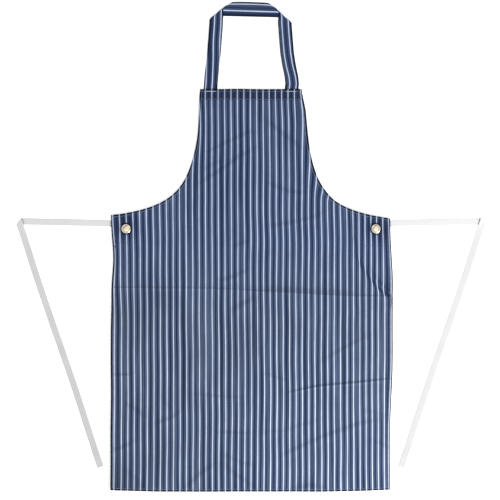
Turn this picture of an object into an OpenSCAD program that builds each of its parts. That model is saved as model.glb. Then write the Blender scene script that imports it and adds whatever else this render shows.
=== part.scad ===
// Striped butcher apron lying flat on a table, front up.
// +X is the wearer's left, +Y runs from the skirt to the neck strap, +Z comes out of the cloth.
// The origin is on the table, under the middle of the whole length.

/* [Panel] */
// Width across the skirt and waist
panel_w = 706; // [520:2:900]
// Length from the bib's top edge to the bottom corners
panel_l = 1012; // [860:2:1300]
// Width of the bib at its top edge
bib_w = 257; // [210:1:320]
// Height of the armhole, from the corner at the waist up to the bib's top edge
armhole_h = 323; // [260:1:380]
// How far the bottom edge bows down in its middle
bottom_bow = 8; // [2:0.5:20]
// Distance from the bib's top edge down to the fold across the middle
fold_drop = 513; // [430:1:560]

/* [Cloth and hems] */
// Thickness of one layer of the coated cloth
cloth_t = 0.5; // [0.3:0.05:0.8]
// Depth of the hem along the bib's top edge
bib_hem = 28; // [20:0.5:40]
// Width of the narrow hems along armholes, sides and bottom
edge_hem = 9; // [6:0.5:14]
// Width of a seam of stitches
stitch_w = 0.8; // [0.5:0.1:1.2]
// Height that a seam of stitches stands above the cloth
stitch_t = 0.3; // [0.2:0.05:0.5]
// Side of the reinforcing patch behind each eyelet
patch_side = 64; // [50:1:80]

/* [Neck strap] */
// Width of the neck strap
strap_w = 34.5; // [24:0.5:44]
// Thickness of the neck strap, which is folded cloth
strap_t = 0.9; // [0.6:0.05:1.2]
// Height of the neck strap above the bib's top edge
strap_rise = 219.5; // [170:0.5:280]
// Distance between the middles of the strap's ends, on the bib
strap_foot = 205; // [170:1:216]
// Distance between the middles of its two legs, at the folded corners
strap_head = 174; // [140:1:200]
// How far each folded corner lies inside a true mitre
corner_in = 10; // [0:0.5:12]
// Length of bare strap that bends, between the sewn end and the loop
strap_bend = 5; // [4:0.5:10]

/* [Eyelets] */
// Radius of the eyelet's hole
eyelet_r = 6.4; // [5:0.1:8]
// Width of the eyelet's flange, beyond the hole
flange_w = 5.4; // [4:0.1:7]
// Height of the eyelet's rounded flange
flange_h = 1.6; // [1.2:0.1:2.4]
// Thickness of the eyelet's tube and of its washer
brass_t = 0.5; // [0.4:0.05:0.8]
// Distance from the side edge in to the eyelet's middle
eyelet_in = 37; // [32:0.5:44]
// Distance from the waist corner down to the eyelet's middle
eyelet_drop = 30.5; // [28:0.5:40]

/* [Ties] */
// Width of the tie tape
tape_w = 16.5; // [12:0.5:22]
// Thickness of the tie tape
tape_t = 0.6; // [0.4:0.05:0.8]
// How far the tape's fold lies out from the eyelet
tie_out = 271; // [200:1:360]
// How far the tape's fold lies above the eyelet
tie_up = 19; // [10:1:30]
// How far the tape's end lies back in from its fold
tie_back = 207; // [120:1:210]
// How far the tape's end lies below its fold
tie_down = 622; // [400:1:700]
// Radius of the stopper knot in front of the eyelet
knot_r = 7.6; // [6:0.1:9]
// Height of the stopper knot above the flange
knot_h = 6; // [4:0.5:9]

/* [Fits] */
// Clearance between parts that move past each other
gap = 0.3; // [0.3:0.05:0.5]
// Clearance round the knot's neck in the eyelet
neck_gap = 0.9; // [0.5:0.1:1.5]

/* [Hidden] */
$fn = 64;
curve_steps = 24;
bow_steps = 16;
// Heights, from the table up: tape, washer, patch and hem, cloth, flange
washer_z = tape_t + gap;
hem_z = washer_z + brass_t;
cloth_z = hem_z + cloth_t;
top_z = cloth_z + cloth_t;
flange_z = top_z + flange_h;
leg_z = hem_z - strap_t;
// Places along the length
strap_top_y = (panel_l + bottom_bow + strap_rise) / 2;
bib_y = strap_top_y - strap_rise;
corner_y = bib_y - armhole_h;
bottom_y = bib_y - panel_l;
fold_y = bib_y - fold_drop;
run_y = strap_top_y - strap_w / 2;
loop_y = bib_y + strap_bend + strap_bend / 2;
tab_y = bib_y + strap_bend / 2;
// Places across the width
side_x = panel_w / 2;
bib_x = bib_w / 2;
eyelet_x = side_x - eyelet_in;
eyelet_y = corner_y - eyelet_drop;
flange_r = eyelet_r + flange_w;
cloth_hole_r = eyelet_r + brass_t;
fold_gap = gap;
overlap = 0.01;

// ---- Curves -------------------------------------------------------------

// A point on a cubic curve with four controls, and its direction
function curve(c, t) = pow(1 - t, 3) * c[0] + 3 * pow(1 - t, 2) * t * c[1]
                     + 3 * (1 - t) * t * t * c[2] + pow(t, 3) * c[3];
function slope(c, t) = pow(1 - t, 2) * (c[1] - c[0]) + 2 * (1 - t) * t * (c[2] - c[1])
                     + t * t * (c[3] - c[2]);
function unit(v) = v / norm(v);
function left_of(v) = [-v[1], v[0]];

// The armhole runs from the bib's top corner, nearly straight down, then sweeps out to the waist
armhole = [[bib_x, bib_y],
           [bib_x + 0.105 * (side_x - bib_x), bib_y - 0.611 * armhole_h],
           [bib_x + 0.002 * (side_x - bib_x), bib_y - 0.918 * armhole_h],
           [side_x, corner_y]];
function armhole_line(inset) = [for (i = [0:curve_steps])
    let (t = i / curve_steps)
    curve(armhole, t) - inset * left_of(unit(slope(armhole, t)))];

// The bottom edge bows down like a shallow parabola
function bottom_line(inset, half) = [for (i = [0:bow_steps])
    let (x = half * (2 * i / bow_steps - 1))
    [x, bottom_y + inset - bottom_bow * (1 - pow(x / side_x, 2))]];

function mirrored(points) = [for (i = [len(points) - 1:-1:0]) [-points[i][0], points[i][1]]];
function reversed(points) = [for (i = [len(points) - 1:-1:0]) points[i]];

// A flat shape from one height to another
module layer(points, low, high) {
    translate([0, 0, low])
        linear_extrude(high - low)
            polygon(points);
}

// A band between two lines that have the same number of points
module band(outer, inner, low, high) {
    layer(concat(outer, reversed(inner)), low, high);
}

// A box given by its lowest and highest corner
module block(low, high) {
    translate(low)
        cube(high - low);
}

// Draws its children on the left, by mirroring the right-hand ones
module to_left() {
    mirror([1, 0, 0])
        children();
}

// ---- Panel --------------------------------------------------------------

module eyelet_hole() {
    translate([eyelet_x, eyelet_y, 0])
        cylinder(r = cloth_hole_r, h = flange_z);
}

// Bib and waist: one layer of cloth with its edges turned under
module panel_upper() {
    low_y = fold_y + fold_gap / 2;
    color("midnightblue")
        difference() {
            union() {
                layer(concat([[side_x, low_y], [-side_x, low_y]], mirrored(armhole_line(0)),
                             armhole_line(0)), cloth_z, top_z);
                block([-bib_x, bib_y - bib_hem, hem_z], [bib_x, bib_y, cloth_z + overlap]);
                upper_side_hems(low_y);
                to_left()
                    upper_side_hems(low_y);
            }
            eyelet_hole();
            to_left()
                eyelet_hole();
        }
}

module upper_side_hems(low_y) {
    band(armhole_line(0), armhole_line(edge_hem), hem_z, cloth_z + overlap);
    block([side_x - edge_hem, low_y, hem_z], [side_x, corner_y, cloth_z + overlap]);
}

// Skirt: the cloth below the fold across the middle
module panel_skirt() {
    high_y = fold_y - fold_gap / 2;
    color("midnightblue")
        union() {
            layer(concat([[side_x, high_y], [-side_x, high_y]], bottom_line(0, side_x)),
                  cloth_z, top_z);
            band(bottom_line(0, side_x), bottom_line(edge_hem, side_x), hem_z, cloth_z + overlap);
            skirt_side_hem(high_y);
            to_left()
                skirt_side_hem(high_y);
        }
}

module skirt_side_hem(high_y) {
    block([side_x - edge_hem, bottom_y, hem_z], [side_x, high_y, cloth_z + overlap]);
}

// Patch of cloth behind each eyelet, inside the hems
module patch() {
    outer_x = side_x - edge_hem;
    outer_y = corner_y - edge_hem;
    color("midnightblue")
        difference() {
            layer([[outer_x, outer_y], [outer_x - patch_side, outer_y],
                   [outer_x - patch_side, outer_y - patch_side], [outer_x, outer_y - patch_side]],
                  hem_z, cloth_z);
            eyelet_hole();
        }
}

module patch_right() {
    patch();
}

module patch_left() {
    to_left()
        patch();
}

// ---- Seams --------------------------------------------------------------

// A seam of stitches along a line, standing on the cloth
module seam(line_a, line_b, low = top_z) {
    color("lightsteelblue")
        band(line_a, line_b, low, low + stitch_t);
}

module bib_hem_thread() {
    half = bib_x - edge_hem;
    y = bib_y - bib_hem + 2;
    seam([[-half, y], [half, y]], [[-half, y + stitch_w], [half, y + stitch_w]]);
}

seam_in = edge_hem - 2;

module armhole_thread_right() {
    seam(armhole_line(seam_in), armhole_line(seam_in + stitch_w));
}

module armhole_thread_left() {
    to_left()
        armhole_thread_right();
}

module side_seam(low_y, high_y) {
    x = side_x - seam_in;
    seam([[x, high_y], [x, low_y]], [[x - stitch_w, high_y], [x - stitch_w, low_y]]);
}

module waist_thread_right() {
    side_seam(fold_y + fold_gap, corner_y - edge_hem);
}

module waist_thread_left() {
    to_left()
        waist_thread_right();
}

module skirt_thread_right() {
    side_seam(bottom_y + edge_hem, fold_y - fold_gap);
}

module skirt_thread_left() {
    to_left()
        skirt_thread_right();
}

module bottom_thread() {
    half = side_x - edge_hem;
    seam(bottom_line(seam_in, half), bottom_line(seam_in + stitch_w, half));
}

// The patch is held by one seam down its inner side and one along its foot
module patch_thread() {
    x = side_x - edge_hem - patch_side + 3;
    y = corner_y - edge_hem - patch_side + 3;
    color("lightsteelblue")
        layer([[x, y], [side_x - edge_hem, y], [side_x - edge_hem, y + stitch_w],
               [x + stitch_w, y + stitch_w], [x + stitch_w, y + patch_side - 6],
               [x, y + patch_side - 6]], top_z, top_z + stitch_t);
}

module patch_thread_right() {
    patch_thread();
}

module patch_thread_left() {
    to_left()
        patch_thread();
}

// Bar tack: a dense short seam across each strap end, near the bib's top edge
tack_w = 1.6;
tack_drop = 5;
module bar_tack_right() {
    half = strap_w * 0.36;
    y = bib_y - tack_drop;
    color("lightsteelblue")
        block([strap_foot / 2 - half, y - tack_w, top_z],
              [strap_foot / 2 + half, y, top_z + stitch_t]);
}

module bar_tack_left() {
    to_left()
        bar_tack_right();
}

// ---- Neck strap ---------------------------------------------------------

// The right leg leans in on its way up, and is folded over at a mitre onto the level run.
// The fold line halves the turn from the leg's direction to the run's.
leg_dir = unit([strap_head - strap_foot, 2 * (run_y - bib_y)]);
leg_side = left_of(leg_dir);
leg_head = [strap_head / 2, run_y];
mitre_dir = unit(leg_dir + [-1, 0]);
mitre_mid = leg_head + corner_in * left_of(mitre_dir);

// Where a line through p, along d, meets the fold line
function on_mitre(p, d) =
    let (r = mitre_mid - p)
    p + d * (r[0] * mitre_dir[1] - r[1] * mitre_dir[0]) / (d[0] * mitre_dir[1] - d[1] * mitre_dir[0]);
// Where a line through p, along the leg, reaches the height y
function on_leg(p, y) = p + leg_dir * (y - p[1]) / leg_dir[1];

function leg_edge(side) = leg_head + side * strap_w / 2 * leg_side;

module strap_leg() {
    layer([on_leg(leg_edge(1), loop_y), on_mitre(leg_edge(1), leg_dir),
           on_mitre(leg_edge(-1), leg_dir), on_leg(leg_edge(-1), loop_y)],
          leg_z, leg_z + strap_t);
}

module neck_strap() {
    high = on_mitre([0, strap_top_y], [1, 0]);
    low = on_mitre([0, strap_top_y - strap_w], [1, 0]);
    color("midnightblue")
        union() {
            layer([high, [-high[0], high[1]], [-low[0], low[1]], low], 0, strap_t);
            strap_leg();
            to_left()
                strap_leg();
        }
}

// Sewn end of the strap, behind the bib's top hem
module strap_end_right() {
    color("midnightblue")
        layer([on_leg(leg_edge(1), bib_y - bib_hem), on_leg(leg_edge(1), tab_y),
               on_leg(leg_edge(-1), tab_y), on_leg(leg_edge(-1), bib_y - bib_hem)],
              leg_z, leg_z + strap_t);
}

module strap_end_left() {
    to_left()
        strap_end_right();
}

// Seam along the strap's inner edge, on both legs
module strap_seam() {
    inner = leg_edge(1) - 2.5 * leg_side;
    outer = inner - stitch_w * leg_side;
    color("lightsteelblue")
        layer([on_leg(inner, loop_y + 1), on_leg(inner, run_y - strap_w / 2),
               on_leg(outer, run_y - strap_w / 2), on_leg(outer, loop_y + 1)],
              leg_z + strap_t, leg_z + strap_t + stitch_t);
}

module strap_thread() {
    strap_seam();
    to_left()
        strap_seam();
}

// ---- Eyelets ------------------------------------------------------------

// Eyelet: a tube through the cloth, with a rounded flange in front and its end rolled over behind
module eyelet_right() {
    crown = flange_w / 2;
    color("goldenrod")
        translate([eyelet_x, eyelet_y, 0])
            rotate_extrude()
                polygon([[eyelet_r, washer_z],
                         [eyelet_r + 2 * brass_t, washer_z],
                         [eyelet_r + 2 * brass_t, hem_z],
                         [cloth_hole_r, hem_z],
                         [cloth_hole_r, top_z],
                         [flange_r, top_z],
                         [flange_r, top_z + 0.35 * flange_h],
                         [flange_r - 0.25 * crown, top_z + 0.75 * flange_h],
                         [eyelet_r + 1.3 * crown, flange_z],
                         [eyelet_r + 0.8 * crown, flange_z],
                         [eyelet_r + 0.3 * crown, top_z + 0.8 * flange_h],
                         [eyelet_r, top_z + 0.4 * flange_h]]);
}

module eyelet_left() {
    to_left()
        eyelet_right();
}

// Washer: the flat ring behind the cloth that the eyelet's end is rolled over
module washer_right() {
    color("darkgoldenrod")
        translate([eyelet_x, eyelet_y, washer_z])
            difference() {
                cylinder(r = flange_r - 1, h = brass_t);
                cylinder(r = eyelet_r + 2 * brass_t, h = 3 * brass_t, center = true);
            }
}

module washer_left() {
    to_left()
        washer_right();
}

// ---- Ties ---------------------------------------------------------------

// Route of the tape: from behind the eyelet out past the side, to its fold, then down to its end
eyelet_mid = [eyelet_x, eyelet_y];
tie_exit = eyelet_mid + [46, 14];
tie_start = eyelet_mid - tape_w / 2 * unit(tie_exit - eyelet_mid);
tie_fold = [eyelet_x + tie_out, eyelet_y + tie_up];
tie_end = tie_fold - [tie_back, tie_down];
out_dir = unit(tie_fold - tie_exit);
tail_dir = unit(tie_end - tie_fold);
fold_dir = unit(out_dir + tail_dir);
tape_half = tape_w / 2;

// Where a line through p, along d, meets the tape's fold line
function on_fold(p, d) =
    let (r = tie_fold - p)
    p + d * (r[0] * fold_dir[1] - r[1] * fold_dir[0]) / (d[0] * fold_dir[1] - d[1] * fold_dir[0]);

// The tape lies on the table, and past its fold it lies one layer higher
module tie_right() {
    start_side = left_of(unit(tie_exit - tie_start));
    exit_side = left_of(unit(out_dir + unit(tie_exit - tie_start)));
    out_side = left_of(out_dir);
    tail_side = left_of(tail_dir);
    color("gainsboro")
        union() {
            layer([tie_start + tape_half * start_side, tie_exit + tape_half * exit_side,
                   on_fold(tie_fold + tape_half * out_side, out_dir),
                   on_fold(tie_fold - tape_half * out_side, out_dir),
                   tie_exit - tape_half * exit_side, tie_start - tape_half * start_side],
                  0, tape_t);
            layer([on_fold(tie_fold + tape_half * tail_side, tail_dir),
                   on_fold(tie_fold - tape_half * tail_side, tail_dir),
                   tie_end - tape_half * tail_side, tie_end + tape_half * tail_side],
                  tape_t / 2, 1.5 * tape_t);
        }
}

module tie_left() {
    to_left()
        tie_right();
}

// Stopper knot in front of the eyelet, with its neck through the hole down to the tape
module tie_knot_right() {
    low = flange_z + gap;
    color("ivory")
        translate([eyelet_x, eyelet_y, 0])
            rotate_extrude()
                polygon([[0, tape_t],
                         [eyelet_r - neck_gap, tape_t],
                         [eyelet_r - neck_gap, low],
                         [knot_r * 0.8, low],
                         [knot_r, low + 0.3 * knot_h],
                         [knot_r, low + 0.55 * knot_h],
                         [knot_r * 0.8, low + 0.85 * knot_h],
                         [knot_r * 0.4, low + knot_h],
                         [0, low + knot_h]]);
}

module tie_knot_left() {
    to_left()
        tie_knot_right();
}

// Two short seams across the turned end of the tape
module tie_end_thread_right() {
    tail_side = left_of(tail_dir);
    color("whitesmoke")
        for (back = [4, 9])
            let (p = tie_end - back * tail_dir, half = tape_half - 1.5)
                layer([p - half * tail_side, p + half * tail_side,
                       p + half * tail_side - stitch_w * tail_dir,
                       p - half * tail_side - stitch_w * tail_dir],
                      1.5 * tape_t, 1.5 * tape_t + stitch_t);
}

module tie_end_thread_left() {
    to_left()
        tie_end_thread_right();
}

panel_upper();
panel_skirt();
patch_left();
patch_right();
bib_hem_thread();
armhole_thread_left();
armhole_thread_right();
waist_thread_left();
waist_thread_right();
skirt_thread_left();
skirt_thread_right();
bottom_thread();
patch_thread_left();
patch_thread_right();
neck_strap();
strap_end_left();
strap_end_right();
strap_thread();
bar_tack_left();
bar_tack_right();
eyelet_left();
eyelet_right();
washer_left();
washer_right();
tie_left();
tie_right();
tie_knot_left();
tie_knot_right();
tie_end_thread_left();
tie_end_thread_right();
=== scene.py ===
# %% [markdown]
# # A striped butcher apron, laid flat
# This lesson builds the looks of a bib apron around a model of its hard sizes. The model, called
# the frame here, fixes where every part lies and how it moves; Blender adds cloth, tape, thread
# and brass. All numbers are in metres, with +Y towards the neck strap and +Z up out of the cloth.

# %% Load the frame
import math

import bmesh
import bpy
import numpy as np
from mathutils import Matrix, Vector


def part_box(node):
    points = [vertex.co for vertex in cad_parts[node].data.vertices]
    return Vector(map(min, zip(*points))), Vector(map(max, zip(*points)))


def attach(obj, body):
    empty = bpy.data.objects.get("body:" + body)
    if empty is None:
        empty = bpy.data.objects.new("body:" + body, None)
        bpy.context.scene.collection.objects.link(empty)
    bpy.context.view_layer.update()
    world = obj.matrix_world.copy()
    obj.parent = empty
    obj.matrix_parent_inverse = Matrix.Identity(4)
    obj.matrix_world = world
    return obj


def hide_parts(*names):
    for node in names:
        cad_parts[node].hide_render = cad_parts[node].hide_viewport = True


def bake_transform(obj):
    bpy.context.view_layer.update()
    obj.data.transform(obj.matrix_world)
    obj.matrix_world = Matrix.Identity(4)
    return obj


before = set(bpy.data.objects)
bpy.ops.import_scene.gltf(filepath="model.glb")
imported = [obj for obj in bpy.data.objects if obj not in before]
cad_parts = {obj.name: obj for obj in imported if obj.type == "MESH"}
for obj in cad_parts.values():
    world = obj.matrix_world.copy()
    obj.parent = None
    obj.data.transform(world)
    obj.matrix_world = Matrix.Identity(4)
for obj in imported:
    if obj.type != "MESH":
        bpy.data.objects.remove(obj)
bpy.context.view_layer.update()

MM = 0.001

# %% [markdown]
# ## Camera, light and table
# A flat lay is seen from straight above through a long lens, so that the cloth's outline isn't
# bent by perspective. A broad soft light from the foot end, on the right, shows the low waves in
# the cloth, a weaker one fills in from the head end, and the white studio round it all is bright
# enough to wash the table's shadows out, as in a catalogue.

# %% Camera above the middle of the apron
VIEW_WIDTH = 1.265
VIEW_CENTRE = Vector((-0.0025, -0.0068))
LENS = 110
SENSOR = 36
camera_height = VIEW_WIDTH * LENS / SENSOR

bpy.ops.object.select_all(action="DESELECT")
bpy.ops.object.camera_add(location=(*VIEW_CENTRE, camera_height), rotation=(0, 0, 0))
camera = bpy.context.object
camera.name = "camera_above"
camera.data.lens = LENS
camera.data.sensor_width = SENSOR
camera.data.clip_end = 100
bpy.context.scene.camera = camera
print("camera", round(camera_height, 3), "m above the table")

# %% Table and lights
TABLE_SIDE = 60.0
bpy.ops.mesh.primitive_plane_add(size=TABLE_SIDE, location=(0, 0, 0))
table = bpy.context.object
table.name = "table_top"


def softbox(name, place, size, power, aim=(0, 0, 0)):
    """A square area light at place, turned towards aim."""
    bpy.ops.object.light_add(type="AREA", location=place)
    lamp = bpy.context.object
    lamp.name = name
    lamp.data.size = size
    lamp.data.energy = power
    lamp.rotation_euler = (Vector(aim) - Vector(place)).to_track_quat("-Z", "Y").to_euler()
    return lamp


softbox("key_light", (1.55, -1.80, 1.3), 1.0, 84, aim=(0, -0.1, 0))
softbox("fill_light", (-2.0, 2.4, 2.6), 2.4, 12)
world = bpy.data.worlds.new("studio")
bpy.context.scene.world = world
world.use_nodes = True
world.node_tree.nodes["Background"].inputs["Color"].default_value = (0.97, 0.985, 1.0, 1)
world.node_tree.nodes["Background"].inputs["Strength"].default_value = 0.63
bpy.context.scene.view_settings.view_transform = "Standard"

# %% [markdown]
# ## The apron's sizes
# Places come from the frame: the box of each of its parts says where the cloth ends. A few sizes
# that no box shows, such as the depth of a hem, are named here once.

# %% Sizes read from the frame, and sizes of cloth and tape
panel_low, panel_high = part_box("panel_upper")
skirt_low, skirt_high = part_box("panel_skirt")
_, strap_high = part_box("neck_strap")
eyelet_low, eyelet_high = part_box("eyelet_right")
hem_seam_low, hem_seam_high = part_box("bib_hem_thread")

SIDE_X = panel_high.x
BIB_Y = panel_high.y
FOLD_Y = (panel_low.y + skirt_high.y) / 2
TOP_Z = panel_high.z
HEM_Z = panel_low.z
LOW_Y = skirt_low.y
EDGE_HEM = 9 * MM
BIB_HEM = 28 * MM
BOTTOM_BOW = 8 * MM
BOTTOM_Y = LOW_Y + BOTTOM_BOW
BIB_X = hem_seam_high.x + EDGE_HEM
ARMHOLE_H = 323 * MM
CORNER_Y = BIB_Y - ARMHOLE_H
CLOTH_T = 0.5 * MM
EYELET = (eyelet_low + eyelet_high) / 2
print("panel", round(2 * SIDE_X, 3), "x", round(BIB_Y - BOTTOM_Y, 3), "m, bib", round(2 * BIB_X, 3))

# %% [markdown]
# ## Where the ties run
# Each tie is a tape about a metre long. It starts at the knot in its eyelet, comes out from behind
# the side hem, runs outward, is folded over once and lies down beside the skirt. The right tie's
# route is a short list of points; the left one is its mirror image.

# %% Route of the right-hand tie
TAPE_W = 16.5 * MM
TAPE_T = 0.6 * MM
TIE_EXIT = Vector((0.362, 0.06075))
TIE_FOLD = Vector((0.587, 0.06575))
TIE_END = Vector((0.380, -0.55625))
tie_start = EYELET.to_2d()
tie_legs = [(TIE_EXIT - tie_start).length, (TIE_FOLD - TIE_EXIT).length, (TIE_END - TIE_FOLD).length]
TIE_LENGTH = sum(tie_legs)
print("tie", round(TIE_LENGTH, 3), "m along", [round(v, 3) for v in tie_legs])

# %% [markdown]
# ## A small vocabulary for modelling
# Edit-mode operators act on what is selected, so every step starts by clearing the selection and
# then picks vertices by their place. These helpers keep that in one spot.


# %% Helpers for edit mode
def alone(piece):
    """Makes piece the only selected and active object."""
    if bpy.context.object and bpy.context.object.mode != "OBJECT":
        bpy.ops.object.mode_set(mode="OBJECT")
    bpy.ops.object.select_all(action="DESELECT")
    piece.select_set(True)
    bpy.context.view_layer.objects.active = piece
    return piece


def settle(piece, name):
    """Names a piece and writes its place, turn and scale into its mesh."""
    alone(piece)
    bpy.ops.object.transform_apply(location=True, rotation=True, scale=True)
    piece.name = name
    piece.data.name = name
    return piece


def pick(piece, test):
    """In edit mode, selects the vertices whose place passes test."""
    mesh = bmesh.from_edit_mesh(piece.data)
    bpy.ops.mesh.select_all(action="DESELECT")
    for v in mesh.verts:
        v.select = bool(test(v.co))
    mesh.select_flush(True)
    bmesh.update_edit_mesh(piece.data)


def slice_at(point, normal):
    """In edit mode, cuts an edge loop through the whole mesh where a plane meets it."""
    bpy.ops.mesh.select_all(action="SELECT")
    bpy.ops.mesh.bisect(plane_co=point, plane_no=normal, threshold=1e-6)


def places(piece):
    """The vertices' places as one array."""
    co = np.empty(len(piece.data.vertices) * 3, np.float32)
    piece.data.vertices.foreach_get("co", co)
    return co.reshape(-1, 3).astype(float)


def put(piece, co):
    """Writes the vertices' places back."""
    piece.data.vertices.foreach_set("co", co.astype(np.float32).ravel())
    piece.data.update()


def modify(piece, kind, **settings):
    """Adds a modifier and applies it at once."""
    alone(piece)
    modifier = piece.modifiers.new(kind.title(), kind)
    for key, value in settings.items():
        setattr(modifier, key, value)
    bpy.ops.object.modifier_apply(modifier=modifier.name)


def smooth(piece, degrees=40):
    """Shades a piece smooth, but keeps edges sharper than this angle."""
    alone(piece)
    bpy.ops.object.shade_smooth_by_angle(angle=math.radians(degrees))


def thicken(piece, thickness, bevel):
    """Gives a flat strip its thickness and softens its edges."""
    modify(piece, "SOLIDIFY", thickness=thickness, offset=0, use_rim=True)
    modify(piece, "BEVEL", width=bevel, segments=2, limit_method="ANGLE", angle_limit=math.radians(60))


def join(piece, other):
    """Makes another piece part of this one."""
    alone(piece)
    other.select_set(True)
    bpy.ops.object.join()


def keep(piece, name, values):
    """Stores one number per vertex for the finishes to read."""
    layer = piece.data.attributes.new(name, "FLOAT", "POINT")
    layer.data.foreach_set("value", np.asarray(values, np.float32))


# %% Helpers for the flat map
def corner_vertices(piece):
    """Which vertex each face corner belongs to."""
    index = np.empty(len(piece.data.loops), np.int32)
    piece.data.loops.foreach_get("vertex_index", index)
    return index


def flat_map(piece):
    """The piece's flat map in metres, one row per face corner."""
    uv = np.empty(len(piece.data.loops) * 2, np.float32)
    piece.data.uv_layers["cloth"].data.foreach_get("uv", uv)
    return uv.reshape(-1, 2)


def store_flat_map(piece, uv):
    """Writes the flat map back, or makes it if there is none."""
    layer = piece.data.uv_layers.get("cloth") or piece.data.uv_layers.new(name="cloth")
    layer.data.foreach_set("uv", uv.astype(np.float32).ravel())
    piece.data.uv_layers.active = layer


def keep_flat_map(piece, across=(1, 0), along=(0, 1), origin=(0, 0)):
    """Stores each vertex's place on the flat cloth as the piece's own UV map."""
    co = places(piece)[:, :2] - np.array(origin)
    flat = np.stack([co @ np.array(across), co @ np.array(along)], 1)
    store_flat_map(piece, flat[corner_vertices(piece)])


# %% [markdown]
# ## How the cloth lies
# The sheet was folded for packing and then laid out by hand, so it isn't dead flat. Its waves are
# one formula for the height and sideways shift of any point, and everything sewn to the panel
# goes through the same formula, so that stitches and patches stay on the cloth. The formula is
# zero at the eyelets and the sewn strap ends, which the frame holds in place.


# %% The armhole's curve and the bowed bottom edge
def armhole_point(t):
    """A point on the right armhole, from the bib's corner at t = 0 to the waist corner at t = 1."""
    reach = SIDE_X - BIB_X
    controls = np.array([[BIB_X, BIB_Y], [BIB_X + 0.105 * reach, BIB_Y - 0.611 * ARMHOLE_H],
                         [BIB_X + 0.002 * reach, BIB_Y - 0.918 * ARMHOLE_H], [SIDE_X, CORNER_Y]])
    weights = np.array([(1 - t) ** 3, 3 * (1 - t) ** 2 * t, 3 * (1 - t) * t * t, t ** 3])
    return weights @ controls


ARMHOLE_STEPS = 32
armhole = np.array([armhole_point(i / ARMHOLE_STEPS) for i in range(ARMHOLE_STEPS + 1)])


def bow(x):
    """How far the bottom edge hangs below its corners."""
    return BOTTOM_BOW * (1 - (x / SIDE_X) ** 2)


print("armhole", round(float(np.linalg.norm(np.diff(armhole, axis=0), axis=1).sum()), 3), "m long")


# %% Soft steps, crests and lines
def fade(value, low, high):
    """0 below low, 1 above high, and smooth between them."""
    t = np.clip((value - low) / (high - low), 0, 1)
    return t * t * (3 - 2 * t)


def ridge(distance, width):
    """A rounded crest along a line, as a packing fold leaves it."""
    return np.exp(-np.sqrt(1 + (distance / width) ** 2) + 1)


def bell(distance, width):
    """1 on a line, falling off evenly on both sides."""
    return np.exp(-(distance / width) ** 2)


def near_line(x, y, line):
    """Each point's distance from a polyline, more than 0 on its left, and a fade at both ends."""
    line = np.asarray(line, float)
    points = np.stack([x, y], 1)
    runs = np.linalg.norm(np.diff(line, axis=0), axis=1)
    off = np.full(len(points), np.inf)
    gone = np.zeros(len(points))
    for a, b, run, before in zip(line[:-1], line[1:], runs, np.cumsum(runs) - runs):
        along = (b - a) / run
        reach = np.clip((points - a) @ along, 0, run)
        away = points - a - reach[:, None] * along
        side = np.where(along[0] * away[:, 1] - along[1] * away[:, 0] > 0, 1, -1)
        distance = side * np.linalg.norm(away, axis=1)
        closer = np.abs(distance) < np.abs(off)
        off = np.where(closer, distance, off)
        gone = np.where(closer, before + reach, gone)
    soft = 0.3 * runs.sum()
    return off, fade(gone, 0, soft) * fade(runs.sum() - gone, 0, soft)


# %% The pulled wrinkle below the right eyelet, and the packing crease
WRINKLE = [(0.259, 0.022), (0.265, -0.014), (0.277, -0.044), (0.296, -0.074), (0.316, -0.098),
           (0.336, -0.117), (0.358, -0.128)]


def along_wrinkle(x, y):
    """How far a point is from the wrinkle, more than 0 on its upper side, and 1 beside it."""
    off, _ = near_line(x, y, WRINKLE)
    return off, fade(x, 0.245, 0.285) * fade(y, -0.15, -0.115)


def fold_offset(x, y):
    """Distance from the packing crease, which runs a little askew."""
    return y - FOLD_Y - 3 * MM + 0.045 * np.clip(x, -0.1, 0.25)
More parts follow.
